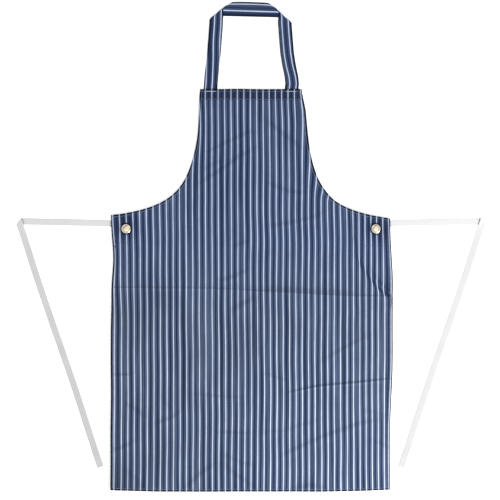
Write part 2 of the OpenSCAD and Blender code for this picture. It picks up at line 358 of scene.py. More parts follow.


# %% [markdown]
# ### Small wrinkles and patches of painted shade
# The small wrinkles are drawn one by one, each from left to right: its points, its width in mm and
# how dark the painted shade along it is. A patch of painted shade stands for a broad hollow that
# turns away from the light: its centre, its half sizes and how dark it is.

# %% Lists of small wrinkles and patches of painted shade
SMALL_WRINKLES = [
    ([(0.028, 0.330), (0.078, 0.292), (0.140, 0.243)], 6.0, 0.44),
    ([(-0.142, 0.226), (-0.058, 0.267), (0.002, 0.295), (0.034, 0.282)], 4.5, 0.34),
    ([(-0.160, 0.143), (-0.083, 0.191), (-0.033, 0.229), (0.036, 0.264)], 5.0, 0.38),
    ([(0.025, 0.172), (0.086, 0.145), (0.150, 0.136)], 5.5, 0.40),
    ([(-0.130, 0.190), (-0.090, 0.212), (-0.055, 0.224)], 4.5, 0.24),
    ([(0.020, 0.050), (0.103, 0.065), (0.170, 0.082), (0.210, 0.116)], 5.0, 0.30),
    ([(-0.052, -0.001), (-0.028, 0.008), (-0.002, 0.020)], 5.5, 0.30),
    ([(0.249, 0.090), (0.256, 0.045), (0.263, 0.000)], 5.0, 0.36),
    ([(-0.100, -0.090), (-0.045, -0.074), (0.008, -0.048)], 6.0, 0.36),
    ([(-0.060, -0.164), (-0.020, -0.142), (0.016, -0.122)], 7.0, 0.38),
    ([(0.020, -0.318), (0.055, -0.323), (0.095, -0.340)], 4.5, 0.30),
    ([(0.160, -0.298), (0.238, -0.252), (0.312, -0.213)], 5.0, 0.30),
    ([(-0.360, -0.323), (-0.330, -0.322), (-0.296, -0.321)], 3.0, 0.50),
    ([(-0.170, -0.368), (-0.110, -0.373), (-0.066, -0.378), (-0.005, -0.377)], 3.5, 0.30),
    ([(0.060, -0.374), (0.120, -0.360), (0.170, -0.349), (0.271, -0.340), (0.400, -0.326)], 2.8, 0.66),
    ([(0.030, -0.549), (0.103, -0.513), (0.170, -0.482), (0.271, -0.445), (0.362, -0.426)], 5.5, 0.40),
    ([(-0.085, -0.515), (-0.033, -0.542), (0.018, -0.561)], 4.5, 0.34),
    ([(-0.078, -0.541), (-0.033, -0.580), (0.024, -0.618)], 5.0, 0.48),
    ([(-0.180, -0.622), (-0.125, -0.568), (-0.080, -0.540)], 5.5, 0.38),
    ([(-0.330, -0.545), (-0.290, -0.585), (-0.255, -0.622)], 6.0, 0.28),
    ([(0.095, -0.614), (0.154, -0.600), (0.212, -0.615)], 6.0, 0.34),
    ([(-0.102, -0.466), (-0.045, -0.468), (0.014, -0.471)], 3.8, 0.34),
    ([(0.000, -0.470), (0.080, -0.463), (0.140, -0.445), (0.200, -0.427)], 4.5, 0.22),
    ([(-0.330, -0.386), (-0.290, -0.410), (-0.255, -0.436)], 5.5, 0.44),
    ([(-0.255, -0.449), (-0.200, -0.428), (-0.168, -0.404)], 5.5, 0.38),
    ([(-0.250, -0.352), (-0.222, -0.385), (-0.192, -0.424)], 5.5, 0.28),
    ([(-0.366, -0.519), (-0.320, -0.501), (-0.284, -0.483)], 5.0, 0.38),
    ([(0.296, -0.483), (0.325, -0.494), (0.362, -0.510)], 4.5, 0.32),
    ([(0.268, -0.408), (0.310, -0.416), (0.362, -0.432)], 4.5, 0.22),
]
SHADE_PATCHES = [
    (-0.310, -0.190, 0.060, 0.070, 0.34),
    (-0.030, -0.250, 0.026, 0.080, 0.32),
    (-0.130, -0.260, 0.030, 0.070, 0.30),
    (-0.235, -0.125, 0.036, 0.040, 0.32),
    (-0.348, -0.600, 0.045, 0.060, 0.60),
    (-0.230, -0.530, 0.032, 0.050, 0.26),
    (0.345, 0.020, 0.022, 0.032, 0.30),
    (0.110, -0.105, 0.120, 0.018, 0.16),
]
CREST = 1.9 * MM


def broad_painted_shade(x, y):
    """How much painted shade each place gets: a base over all but the foot's right half, and the patches.
    """
    # The base is painted shade that leaves the foot's right half lighter, as if the light fell brighter
    # there.
    shade_amount = 0.18 * (1 - fade(-y, 0.20, 0.42) * fade(x, -0.12, 0.02))
    for centre_x, centre_y, half_x, half_y, depth in SHADE_PATCHES:
        shade_amount += depth * bell(x - centre_x, half_x) * bell(y - centre_y, half_y)
    return shade_amount


def crumple(x, y):
    """The height of the small wrinkles' crests, and the painted shade on their sides just above them."""
    height = np.zeros(len(x))
    dark = np.zeros(len(x))
    for line, width, depth in SMALL_WRINKLES:
        off, ends = near_line(x, y, line)
        height += CREST * depth * bell(off + width * MM, 1.3 * width * MM) * ends
        dark = np.maximum(dark, depth * bell(off, width * MM) * ends)
    return height, dark


# %% Height and shift of the cloth
BROAD_H, SMALL_H, FLUTE_H, CREASE_H, PULL_H, SECOND_H = (h * MM for h in (0.9, 0.35, 0.8, 1.1, 2.0, 1.2))


def height_of(x, y):
    """How high a point lies above its flat place."""
    sin, cos = np.sin, np.cos
    broad = 1 + sin(x / 0.046 + 1.7 * sin(y / 0.17 + 0.6)) * cos(y / 0.15 + 0.9 * sin(x / 0.12))
    small = 1 + sin(x / 0.0165 + 2.4 * sin(y / 0.078)) * sin(y / 0.052 + 1.3 * sin(x / 0.06))
    flute = (1 + sin(x / 0.021 + 0.8 * sin(y / 0.2))) * fade(-y, 0.42, 0.62)
    crease = ridge(fold_offset(x, y), 2.6 * MM) * (0.85 + 0.15 * sin(x / 0.05))
    off, beside = along_wrinkle(x, y)
    pull = np.where(off > 0, bell(off, 7 * MM), bell(off, 13 * MM)) * beside
    second = bell(off - 19 * MM, 6 * MM) * beside * fade(-y, 0.03, 0.07)
    waves = BROAD_H * broad + SMALL_H * small + FLUTE_H * flute + CREASE_H * crease
    return waves + PULL_H * pull + SECOND_H * second + crumple(x, y)[0]


def shift_of(x, y):
    """How far a point lies sideways and endways from its place on the flat cloth."""
    off, beside = along_wrinkle(x, y)
    slip = -0.8 * MM * fade(off, -3 * MM, 3 * MM) * bell(off, 0.03) * beside
    sway = 0.6 * MM * np.sin(y / 0.11 + x / 0.2) + 0.3 * MM * np.sin(y / 0.029 + 2 * np.sin(x / 0.07))
    middle = 1.7 * MM * bell(x, 0.09) * fade(-y, 0.12, 0.24) * fade(0.5 + y, 0, 0.1)
    skew = -0.0125 * x * fade(y, -0.28, -0.02)
    foot = (2.2 * MM * np.cos(x / 0.11) + 1.2 * MM * fade(x, 0.1, 0.35)) * fade(-y, 0.42, 0.6)
    return slip + sway + middle, skew + foot


# %% What the edges do, and the whole formula
def roll_of(x, y, edge):
    """How far the hems roll under or out: each edge has its own slack and tight stretches."""
    left = 5.0 * MM * bell(y + 0.033, 0.055) - 2.0 * MM * fade(-y, 0.13, 0.22)
    right = 7.0 * MM * fade(-y, -0.08, 0.11) * fade(0.48 + y, 0, 0.18) - 1.5 * MM
    side = np.where(x < 0, left, right) * bell(edge["in_side"], 12 * MM)
    left = 4.4 * MM * bell(y - 0.285, 0.075)
    right = 4.4 * MM * fade(y, 0.11, 0.15) * fade(0.40 - y, 0, 0.02)
    hole = np.where(x < 0, left, right) * bell(edge["in_hole"], 16 * MM)
    return side + hole


def pucker_of(x, y, edge):
    """The fine gathers that a seam pulls into a hem."""
    run = np.where(edge["side"], y, np.where(edge["armhole"], y - np.abs(x), x))
    wave = np.sin(run / (3.1 * MM) + 1.5 * np.sin(run / (17 * MM)))
    stiff = 1 - 0.8 * bell(np.abs(x) - EYELET.x, 0.045) * bell(y - EYELET.y, 0.045)
    return 0.28 * MM * (1 + wave) * bell(edge["distance"], 13 * MM) * stiff


def edges_of(points):
    """Each point's distance from the cut edge, and which edge that is."""
    folded = np.stack([np.abs(points[:, 0]), points[:, 1]], 1)
    side = np.where(folded[:, 1] < CORNER_Y, SIDE_X - folded[:, 0], np.inf)
    hole = np.abs(near_line(folded[:, 0], folded[:, 1], armhole)[0])
    foot = folded[:, 1] - BOTTOM_Y + bow(folded[:, 0])
    head = BIB_Y - folded[:, 1]
    every = np.stack([side, hole, foot, head])
    nearest = every.argmin(0)
    return {"distance": every.min(0), "side": nearest == 0, "armhole": nearest == 1, "head": head,
            "in_side": np.where(np.isinf(side), 1.0, side), "in_hole": hole}


STRAP_END_X, STRAP_END_HALF = 0.1, 0.018
EYELET_GRIP = (12.5 * MM, 40 * MM)
STRAP_GRIP = (10 * MM, 60 * MM)


def held(points):
    """0 where the frame holds the cloth, at eyelets and strap ends, and 1 away from them."""
    x, y = np.abs(points[:, 0]), points[:, 1]
    near_eyelet = np.hypot(x - EYELET.x, y - EYELET.y)
    beside_strap = np.clip(np.abs(x - STRAP_END_X) - STRAP_END_HALF, 0, None)
    near_strap = np.hypot(beside_strap, BIB_Y - y)
    return fade(near_eyelet, *EYELET_GRIP) * fade(near_strap, *STRAP_GRIP)


def lie(co):
    """Flat points of the panel, or of what is sewn to it, moved to where they lie on the table."""
    x, y = co[:, 0], co[:, 1]
    free = held(co[:, :2])
    edge = edges_of(co[:, :2])
    sideways, endways = shift_of(x, y)
    out = co.copy()
    out[:, 0] += free * (sideways + roll_of(x, y, edge))
    out[:, 1] += free * endways
    out[:, 2] += free * height_of(x, y) + fade(free, 0, 0.2) * pucker_of(x, y, edge)
    return out


# %% [markdown]
# ## The panel
# The real panel is one piece of cloth, cut to shape and hemmed all round. The outline is drawn as
# a tailor would mark it: a rectangle for the skirt, then its top edge pulled up step by step and
# narrowed to the armhole's curve. The hem lines are two insets, and a grid of straight cuts gives
# the sheet enough points to bend. Solidify then makes the cloth double where it is turned under.

# %% Draw the outline and its hem lines
GRID = 5 * MM
STEP_W = 0.6 * MM

bpy.ops.object.select_all(action="DESELECT")
bpy.ops.mesh.primitive_plane_add(size=1, location=(0, (BOTTOM_Y + CORNER_Y) / 2, TOP_Z))
panel = bpy.context.object
panel.scale = (2 * SIDE_X, CORNER_Y - BOTTOM_Y, 1)
settle(panel, "panel_cloth")
bpy.ops.object.mode_set(mode="EDIT")
bpy.ops.mesh.select_mode(type="VERT")
pick(panel, lambda co: co.y > CORNER_Y - MM)
for here, there in zip(armhole[:0:-1], armhole[-2::-1]):
    bpy.ops.mesh.extrude_region_move(TRANSFORM_OT_translate={"value": (0, there[1] - here[1], 0)})
    bpy.ops.transform.resize(value=(there[0] / here[0], 1, 1), center_override=(0, 0, TOP_Z))
bpy.ops.mesh.select_all(action="SELECT")
bpy.ops.mesh.remove_doubles(threshold=1e-6)
bpy.ops.mesh.dissolve_faces()
bpy.ops.mesh.select_all(action="SELECT")
bpy.ops.mesh.inset(thickness=EDGE_HEM)
bpy.ops.mesh.inset(thickness=STEP_W)
bpy.ops.object.mode_set(mode="OBJECT")
print("outline", len(panel.data.vertices), "points,", len(panel.data.polygons), "faces")

# %% Cut the sheet into a grid, finer at folds, wrinkles and eyelets
def slices(first, pitch, count):
    """Evenly spaced places."""
    return [first + pitch * i for i in range(count)]


columns = round(2 * SIDE_X / GRID)
rows = round((BIB_Y - BOTTOM_Y) / GRID)
WRINKLE_COLUMNS, WRINKLE_ROWS = 7.1 * MM, 6.3 * MM
FOLD_ROWS, LOWER_ROWS, EYELET_PITCH = 1.5 * MM, 2.5 * MM, 2.6 * MM
LOWER_CREASE_Y = -0.350
ACROSS, ALONG = (0, 1, 0), (1, 0, 0)
cuts = [
    (ACROSS, [BIB_Y - BIB_HEM, BIB_Y - BIB_HEM - STEP_W]),
    (ALONG, slices(-SIDE_X, 2 * SIDE_X / columns, columns)[1:]),
    (ACROSS, slices(BOTTOM_Y + 0.37 * MM, (BIB_Y - BOTTOM_Y) / rows, rows)[1:]),
    (ACROSS, slices(FOLD_Y - 10.75 * FOLD_ROWS, FOLD_ROWS, 23)),
    (ALONG, slices(SIDE_X - 0.108, WRINKLE_COLUMNS, 14)[1:]),
    (ACROSS, slices(0.018, -WRINKLE_ROWS, 26)),
    (ALONG, [side * (SIDE_X - inside) for side in (-1, 1) for inside in (1.6 * MM, 3.6 * MM)]),
    (ACROSS, slices(LOWER_CREASE_Y - 7.7 * LOWER_ROWS, LOWER_ROWS, 17)),
]
for off in slices(-5.6 * EYELET_PITCH, EYELET_PITCH, 13):
    cuts.append((ACROSS, [EYELET.y + off]))
    cuts.append((ALONG, [-(EYELET.x + off), EYELET.x + off]))
bpy.ops.object.mode_set(mode="EDIT")
for normal, cut_places in cuts:
    for place in cut_places:
        slice_at(Vector(normal) * place, normal)
bpy.ops.object.mode_set(mode="OBJECT")
print("panel grid", len(panel.data.polygons), "faces")

# %% Punch the holes for the eyelets
PUNCH_R = 7.2 * MM


def punch(piece, centre, ring):
    """Cuts a round hole in a flat grid; ring is how far its rim's points may be drawn in."""
    centre = Vector((centre[0], centre[1]))
    alone(piece)
    bpy.ops.object.mode_set(mode="EDIT")
    bpy.ops.mesh.select_mode(type="VERT")
    pick(piece, lambda c: (c.to_2d() - centre).length < PUNCH_R - 0.5 * MM)
    bpy.ops.mesh.delete(type="VERT")
    bpy.ops.object.mode_set(mode="OBJECT")
    co = places(piece)
    away = co[:, :2] - np.array(centre)
    radius = np.linalg.norm(away, axis=1)
    rim = radius < PUNCH_R + ring
    co[rim, :2] = np.array(centre) + away[rim] / radius[rim, None] * PUNCH_R
    put(piece, co)


for side in (-1, 1):
    punch(panel, (side * EYELET.x, EYELET.y), 1.2 * MM)
print("two holes,", round(2 * PUNCH_R / MM, 1), "mm across")

# %% How the stripes were stretched when the cloth was cut
def stretch_stripes(piece):
    """Shifts the flat map so that a white stripe runs through each eyelet, and bends at the hems."""
    uv = flat_map(piece)
    x, y = uv[:, 0].copy(), uv[:, 1]
    off, _ = along_wrinkle(x, y)
    above = fade(off, -9 * MM, 12 * MM) * fade(x, 0.225, 0.292) * fade(0.2 - y, 0, 0.06)
    uv[:, 0] += 4.6 * MM * np.abs(x / 0.342) ** 3.5
    uv[:, 0] -= 1.9 * MM * fade(-x, 0.27, 0.34) * fade(-y, 0.08, 0.18)
    uv[:, 0] += 1.5 * MM * bell(x + EYELET.x, 0.06) * bell(y - EYELET.y, 0.08)
    uv[:, 0] += (1.4 * MM + 2.2 * MM * bell(x - 0.325, 0.022)) * above
    uv[:, 0] -= 1.3 * MM * bell(x - 0.27, 0.045) * fade(-y, 0.1, 0.17)
    uv[:, 0] += 1.2 * MM * fade(x, 0.333, 0.343) * fade(y + 0.15, 0, 0.03)
    uv[:, 0] += 3.6 * MM * fade(x, 0.3435, 0.3495) * fade(-y, 0.11, 0.17)
    uv[:, 0] += 1.6 * MM * fade(y, 0.0, 0.1) + 2.4 * MM * fade(x, 0, 0.09) * fade(y, 0.30, 0.38)
    store_flat_map(piece, uv)


# %% Bow the bottom edge and keep the flat map
co = places(panel)
co[:, 1] -= bow(co[:, 0]) * fade(-co[:, 1], -BOTTOM_Y - 0.25, -BOTTOM_Y)
put(panel, co)
keep_flat_map(panel)
stretch_stripes(panel)
x, y = co[:, 0], co[:, 1]

# %% Mark hems, patches and eyelets for the finishes, and where painted shade goes
HEM_SLACK = 0.2 * MM
edge = edges_of(co[:, :2])
in_bib_hem = edge["head"] < BIB_HEM + HEM_SLACK
doubled = (edge["distance"] < EDGE_HEM + HEM_SLACK) | in_bib_hem
# rim carries painted shade along the cut edge; rolled_side makes it darkest where the side hems roll under.
rolled_side = 0.5 * (np.abs(x) > SIDE_X - 2 * MM) * (y < CORNER_Y)
keep(panel, "rim", np.clip(1 - edge["distance"] / EDGE_HEM, 0, 1) + rolled_side)
over_patch = np.hypot(np.abs(x) - EYELET.x - 4 * MM, y - EYELET.y - 8 * MM)
in_patch = fade(56 * MM - over_patch, 0, 38 * MM)
keep(panel, "backed", np.maximum(in_patch, in_bib_hem))
around_eyelet = np.hypot(np.abs(x) - EYELET.x, y - EYELET.y)
# pressed carries a painted shadow on the cloth round each eyelet's flange.
keep(panel, "pressed", fade(17.5 * MM - around_eyelet, 0, 4.5 * MM))

# %% Mark the painted shade along the packing crease, the small wrinkles and the pulled wrinkle
fold_away = fold_offset(x, y)
# Painted shade: a dark line on the packing crease, dark bands just above it, and the wrinkles' dark sides.
line = (0.36 + 0.16 * np.sin(x / 0.031 + 2 * np.sin(x / 0.09))) * bell(fold_away - 1.5 * MM, 2.2 * MM)
right_band = 0.34 * bell(fold_away - 8 * MM, 8 * MM) * fade(x, 0.0, 0.05) * fade(0.305 - x, 0, 0.07)
left_band = 0.20 * bell(fold_away - 7 * MM, 7 * MM) * fade(x + 0.16, 0.0, 0.05) * fade(-x, 0, 0.04)
crease_shade = np.max([line, right_band, left_band, crumple(x, y)[1]], axis=0)
keep(panel, "crease", crease_shade + broad_painted_shade(x, y))
off, beside = along_wrinkle(x, y)

# Painted shade in each hollow beside the pulled wrinkle: how dark, its distance and width in mm, and
# between which two distances below the waist it sets in; the first one is there all the way.
HOLLOWS = [(0.9, 3, 5.5, -2, -1), (0.75, 16, 5, 0.045, 0.08), (0.6, 29, 5, 0.075, 0.1)]
shades = [depth * bell(off - far * MM, width * MM) * beside * fade(-y, begin, full)
          for depth, far, width, begin, full in HOLLOWS]
keep(panel, "hollow", np.max(shades, axis=0))

# %% Lay the cloth down and thicken it, twice at the hems
group = panel.vertex_groups.new(name="hem")
group.add(np.nonzero(doubled)[0].tolist(), 1.0, "REPLACE")
put(panel, lie(co))
modify(panel, "SOLIDIFY", thickness=2 * CLOTH_T, offset=-1, vertex_group="hem", thickness_vertex_group=0.5,
       use_rim=True)
smooth(panel, 50)
print("panel", len(panel.data.polygons), "faces after thickening")

# %% [markdown]
# ## Folding a strip
# The neck strap and the ties are flat strips with one or two sharp folds. A strip is made flat
# along its first run, cut along the fold line, and the rest is turned over about that line by half
# a turn, as a hand would. The two layers then lie on each other with a rounded edge between them.


# %% Strip and fold helpers
def strip(name, start, direction, width, length, step, across=6, height=0.0):
    """A flat strip from start along direction, with a map of its width and length."""
    direction = Vector(direction).normalized()
    side = Vector((direction.y, -direction.x))
    middle = Vector(start) + direction * length / 2
    bpy.ops.object.select_all(action="DESELECT")
    bpy.ops.mesh.primitive_grid_add(x_subdivisions=across, y_subdivisions=round(length / step), size=1,
                                    location=(*middle, height))
    piece = bpy.context.object
    piece.scale = (width, length, 1)
    piece.rotation_euler = (0, 0, math.atan2(direction.y, direction.x) - math.pi / 2)
    settle(piece, name)
    keep_flat_map(piece, across=tuple(side), along=tuple(direction), origin=tuple(start))
    return piece


def turn_over(piece, centre, line, beyond, lift, roll, chosen=None):
    """Folds what lies beyond a line, given by a point and a direction, over onto the rest.
    lift is how much higher the turned part lies than the part before the fold."""
    centre, line, beyond = Vector(centre), Vector(line).normalized(), Vector(beyond).normalized()
    normal = Vector((-line.y, line.x))
    normal = normal if normal.dot(beyond) > 0 else -normal
    alone(piece)
    bpy.ops.object.mode_set(mode="EDIT")
    for part in (-2.5, -1, -0.4, 0, 0.4, 1, 2.5):
        where = centre + normal * roll * part
        if chosen is None:
            bpy.ops.mesh.select_all(action="SELECT")
        else:
            pick(piece, chosen)
        bpy.ops.mesh.bisect(plane_co=(*where, 0), plane_no=(*normal, 0), threshold=1e-7)
    bpy.ops.object.mode_set(mode="OBJECT")
    co = places(piece)
    past = (co[:, :2] - np.array(centre)) @ np.array(normal)
    if chosen is not None:
        kept = np.array([bool(chosen(Vector(c))) for c in co])
        past = np.where(kept, past, -1.0)
    inside = past > 0
    co[inside, :2] -= 2 * past[inside, None] * np.array(normal)
    share = 0.5 + 0.5 * np.sin(np.clip(past / roll, -1, 1) * math.pi / 2)
    co[:, 2] += lift * share
    put(piece, co)
    return past


# %% [markdown]
# ## The neck strap
# One strip of the striped cloth, folded double and stitched, makes the neck strap. Its ends are
# sewn behind the bib's hem, and its two corners are simply folded over, with the level run
# underneath. Each corner is pressed in a little, so the fold line lies inside a true mitre.

# %% Places of the strap
STRAP_W = 34.5 * MM
STRAP_T = 0.9 * MM
STRAP_FOOT = 205 * MM
STRAP_HEAD = 174 * MM
CORNER_IN = 10 * MM
run_y = strap_high.y - STRAP_W / 2
left_foot = Vector((-STRAP_FOOT / 2, BIB_Y))
left_head = Vector((-STRAP_HEAD / 2, run_y))
right_head = Vector((STRAP_HEAD / 2, run_y))
up_left = (left_head - left_foot).normalized()
down_right = Vector((up_left.x, -up_left.y))
sewn_start = left_foot - up_left * BIB_HEM / up_left.y
leg_length = (left_head - sewn_start).length
STRAP_LENGTH = 2 * leg_length + STRAP_HEAD
print("strap", round(STRAP_LENGTH, 3), "m long")

# %% Make the strap flat, fold it twice and press its corners
LEG_Z = HEM_Z - STRAP_T / 2 - 0.1 * MM
RUN_DROP = STRAP_T + 0.05 * MM
FOLD_R = 0.7 * MM
EAST = Vector((1, 0))
strap = strip("neck_strap_cloth", sewn_start, up_left, STRAP_W, STRAP_LENGTH, 5 * MM, across=9,
              height=LEG_Z)
turn_over(strap, left_head, up_left + EAST, up_left, -RUN_DROP, FOLD_R)
turn_over(strap, right_head, EAST + down_right, EAST, RUN_DROP, FOLD_R,
          chosen=lambda c: c.x > 0 and c.y > run_y - STRAP_W)


def press_corner(co, point, degrees):
    """Moves what lies beyond a line, through point at an angle, back to it."""
    angle = math.radians(degrees)
    normal = np.array([-math.sin(angle), math.cos(angle)])
    past = (co[:, :2] - np.array(point)) @ normal
    soft = 2.5 * MM
    reach = CORNER_IN + 12 * MM
    pressed = np.where(past > -soft, -soft + (past + soft) * soft / reach, past)
    co[:, :2] += (pressed - past)[:, None] * normal
    return co


LEFT_CORNER, LEFT_TURN = (-0.0635, 0.6112), 36.5
RIGHT_CORNER, RIGHT_TURN = (0.0730, 0.6000), -40
co = press_corner(places(strap), LEFT_CORNER, LEFT_TURN)
co = press_corner(co, RIGHT_CORNER, RIGHT_TURN)
put(strap, co)
print("strap box", [round(v, 4) for v in co.min(0)], [round(v, 4) for v in co.max(0)])


# %% Let the strap lie as it was dropped
def drop_strap(co):
    """The left leg stands a little in; the right leg sags inward and comes back out at its foot."""
    x, y = co[:, 0].copy(), co[:, 1].copy()
    loose = fade(y, BIB_Y - 2 * MM, BIB_Y + 14 * MM)
    on_left = (x < 0) * 1.8 * MM * fade(y, BIB_Y + 0.03, BIB_Y + 0.09) * fade(0.605 - y, 0, 0.05)
    sag = 4.2 * MM * fade(y, BIB_Y + 0.035, BIB_Y + 0.10) * fade(0.600 - y, 0, 0.035)
    foot = 2.6 * MM * (1 - fade(y, BIB_Y + 0.02, BIB_Y + 0.06))
    on_right = (x > 0) * (foot - sag)
    co[:, 0] += loose * (on_left + on_right)
    level = fade(y, run_y - 0.035, run_y - 0.01)
    droop = 2.4 * MM * (np.abs(x) / 0.06) ** 2 * fade(y, run_y, strap_high.y)
    spread = 0.085 * (y - run_y)
    co[:, 1] += level * (spread - 0.9 * MM - 0.030 * x - droop * fade(0.075 - np.abs(x), 0, 0.02))
    co[:, 2] += 0.55 * MM * fade(y, BIB_Y + 0.06, run_y - 0.03)
    ripple = 0.35 * MM * (1 + np.sin(y / 0.011 + x / 0.02)) + 0.3 * MM * (1 + np.sin(y / 0.017 - x / 0.012))
    co[:, 2] += ripple * fade(y, BIB_Y + 0.01, BIB_Y + 0.04)
    return co


put(strap, drop_strap(places(strap)))


# %% Let the strap's stripes drift, and thicken it
def stripe_drift(piece):
    """The strip was cut a little off the grain, so its stripes wander from edge to edge."""
    uv = flat_map(piece)
    v = uv[:, 1]
    from_edge = 13.2 * MM + 7.5 * MM * fade(0.165 - v, 0, 0.125)
    from_edge = from_edge - 4.6 * MM * fade(v, 0.38, 0.44) - 1.9 * MM * fade(v, 0.54, 0.59)
    uv[:, 0] += STRAP_W / 2 - from_edge
    store_flat_map(piece, uv)


across = np.zeros(len(strap.data.vertices))
across[corner_vertices(strap)] = np.abs(flat_map(strap)[:, 0])
# The strap's edges get the same painted shade through rim.
keep(strap, "rim", np.clip(1 - (STRAP_W / 2 - across) / EDGE_HEM, 0, 1))
keep(strap, "backed", np.full(len(across), 0.62))
stripe_drift(strap)
thicken(strap, STRAP_T, 0.3 * MM)
smooth(strap, 50)
print("strap's lowest point", round(places(strap)[:, 2].min() / MM, 2), "mm")

# %% [markdown]
# ## Patches behind the eyelets
# A square of the same cloth is sewn behind each waist corner, so that the eyelet doesn't tear out.
# It is only seen from behind, but its thickness and its round hole are real.


# %% Patch and its mirror image
def mirrored(piece, name):
    """A copy of a piece on the other side, with its own mesh and its faces turned outward."""
    twin = piece.copy()
    twin.data = piece.data.copy()
    twin.name = twin.data.name = name
    bpy.context.scene.collection.objects.link(twin)
    twin.data.transform(Matrix.Scale(-1, 4, (1, 0, 0)))
    twin.data.flip_normals()
    twin.data.update()
    return twin


PATCH_T = 0.44 * MM
PATCH_DROP = 0.45 * MM
PATCH_GRID = 20


def make_patch():
    """The right-hand patch, punched, laid on the cloth's back and thickened."""
    low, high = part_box("patch_right")
    side = high.x - low.x
    middle = (low + high) / 2
    bpy.ops.object.select_all(action="DESELECT")
    bpy.ops.mesh.primitive_grid_add(x_subdivisions=PATCH_GRID, y_subdivisions=PATCH_GRID, size=side,
                                    location=(middle.x, middle.y, high.z - PATCH_DROP))
    patch = settle(bpy.context.object, "patch_right_cloth")
    punch(patch, EYELET, 1.8 * MM)
    keep_flat_map(patch)
    stretch_stripes(patch)
    put(patch, lie(places(patch)))
    modify(patch, "SOLIDIFY", thickness=PATCH_T, offset=-1)
    smooth(patch)
    return patch


patch_right = make_patch()
print("patch", len(patch_right.data.polygons), "faces")

# %% [markdown]
# ## Eyelets
# A brass eyelet is a tube with a rounded flange that is pressed through the cloth. It is the same
# all round, so its outline is drawn once, point by point, and spun into a full turn.


# %% Spin an outline about an upright axis
def spun(name, outline, centre, steps=56):
    """A turned shape: outline is a closed list of (radius, height) in metres."""
    bpy.ops.object.select_all(action="DESELECT")
    bpy.ops.mesh.primitive_plane_add(size=MM, location=(0, 0, 0))
    piece = settle(bpy.context.object, name)
    bpy.ops.object.mode_set(mode="EDIT")
    bpy.ops.mesh.select_all(action="SELECT")
    bpy.ops.mesh.merge(type="CENTER")
    bpy.ops.transform.translate(value=(outline[0][0], 0, outline[0][1]))
    for (r0, z0), (r1, z1) in zip(outline, outline[1:] + outline[:1]):
        bpy.ops.mesh.extrude_region_move(TRANSFORM_OT_translate={"value": (r1 - r0, 0, z1 - z0)})
    bpy.ops.mesh.select_all(action="SELECT")
    bpy.ops.mesh.spin(steps=steps, angle=math.tau, center=(0, 0, 0), axis=(0, 0, 1))
    bpy.ops.mesh.select_all(action="SELECT")
    bpy.ops.mesh.remove_doubles(threshold=2e-6)
    bpy.ops.mesh.normals_make_consistent(inside=False)
    bpy.ops.object.mode_set(mode="OBJECT")
    piece.location = (centre[0], centre[1], 0)
    return settle(piece, name)


# %% The eyelet's outline: rolled end, tube and rounded flange
def arc(middle, radii, start, stop, count):
    """Points on a stretch of an ellipse, in degrees."""
    return [(middle[0] + radii[0] * math.cos(math.radians(start + (stop - start) * i / count)),
             middle[1] + radii[1] * math.sin(math.radians(start + (stop - start) * i / count)))
            for i in range(count + 1)]


EYELET_R = 6.4 * MM
FLANGE_W = (eyelet_high.x - eyelet_low.x) / 2 - EYELET_R
BRASS_T = 0.5 * MM
flange_mid = EYELET_R + FLANGE_W / 2
crown = arc((flange_mid, TOP_Z + 0.1 * MM), (FLANGE_W / 2, eyelet_high.z - TOP_Z - 0.1 * MM), 180, 0, 14)
rolled = arc((EYELET_R + BRASS_T, eyelet_low.z + 0.25 * MM), (BRASS_T, 0.25 * MM), 0, -180, 6)
TUBE_R = EYELET_R + BRASS_T
eyelet_outline = crown + [(EYELET_R + FLANGE_W, TOP_Z - 0.15 * MM), (TUBE_R, TOP_Z - 0.1 * MM),
                          (TUBE_R, HEM_Z), (TUBE_R + BRASS_T, HEM_Z)] + rolled
eyelet_right = spun("eyelet_right_brass", eyelet_outline, EYELET)
smooth(eyelet_right, 55)
eyelet_left = mirrored(eyelet_right, "eyelet_left_brass")
eyelet_d = 2 * (EYELET_R + FLANGE_W)
print("eyelet", len(eyelet_right.data.polygons), "faces,", round(eyelet_d / MM, 1), "mm across")

# %% [markdown]
# ## Stitches
# A lockstitch seam shows as a row of short thread dashes, each dipping into the cloth at its ends.
# One dash is modelled, then copied along every seam at a fixed pitch and joined, and the whole
# seam is laid on the cloth by the same formula as the panel.


# %% One stitch, and seams of many
STITCH_PITCH = 3.3 * MM
THREAD_D = 0.8 * MM


def make_dash(length, thickness):
    """One stitch, lying along X."""
    bpy.ops.object.select_all(action="DESELECT")
    bpy.ops.mesh.primitive_uv_sphere_add(segments=7, ring_count=5, radius=0.5, location=(0, 0, 0),
                                         rotation=(0, math.pi / 2, 0))
    dash = bpy.context.object
    dash.scale = (thickness * 0.75, thickness, length)
    settle(dash, "stitch_pattern")
    return dash


def walk(line, pitch, start=0.0):
    """Places and directions at an even pitch along a polyline."""
    line = np.asarray(line, float)
    runs = np.linalg.norm(np.diff(line, axis=0), axis=1)
    at = np.concatenate([[0], np.cumsum(runs)])
    out = []
    for s in np.arange(start + pitch / 2, at[-1] - pitch / 3, pitch):
        i = min(int(np.searchsorted(at, s)) - 1, len(runs) - 1)
        d = (line[i + 1] - line[i]) / runs[i]
        out.append((line[i] + d * (s - at[i]), math.atan2(d[1], d[0])))
    return out


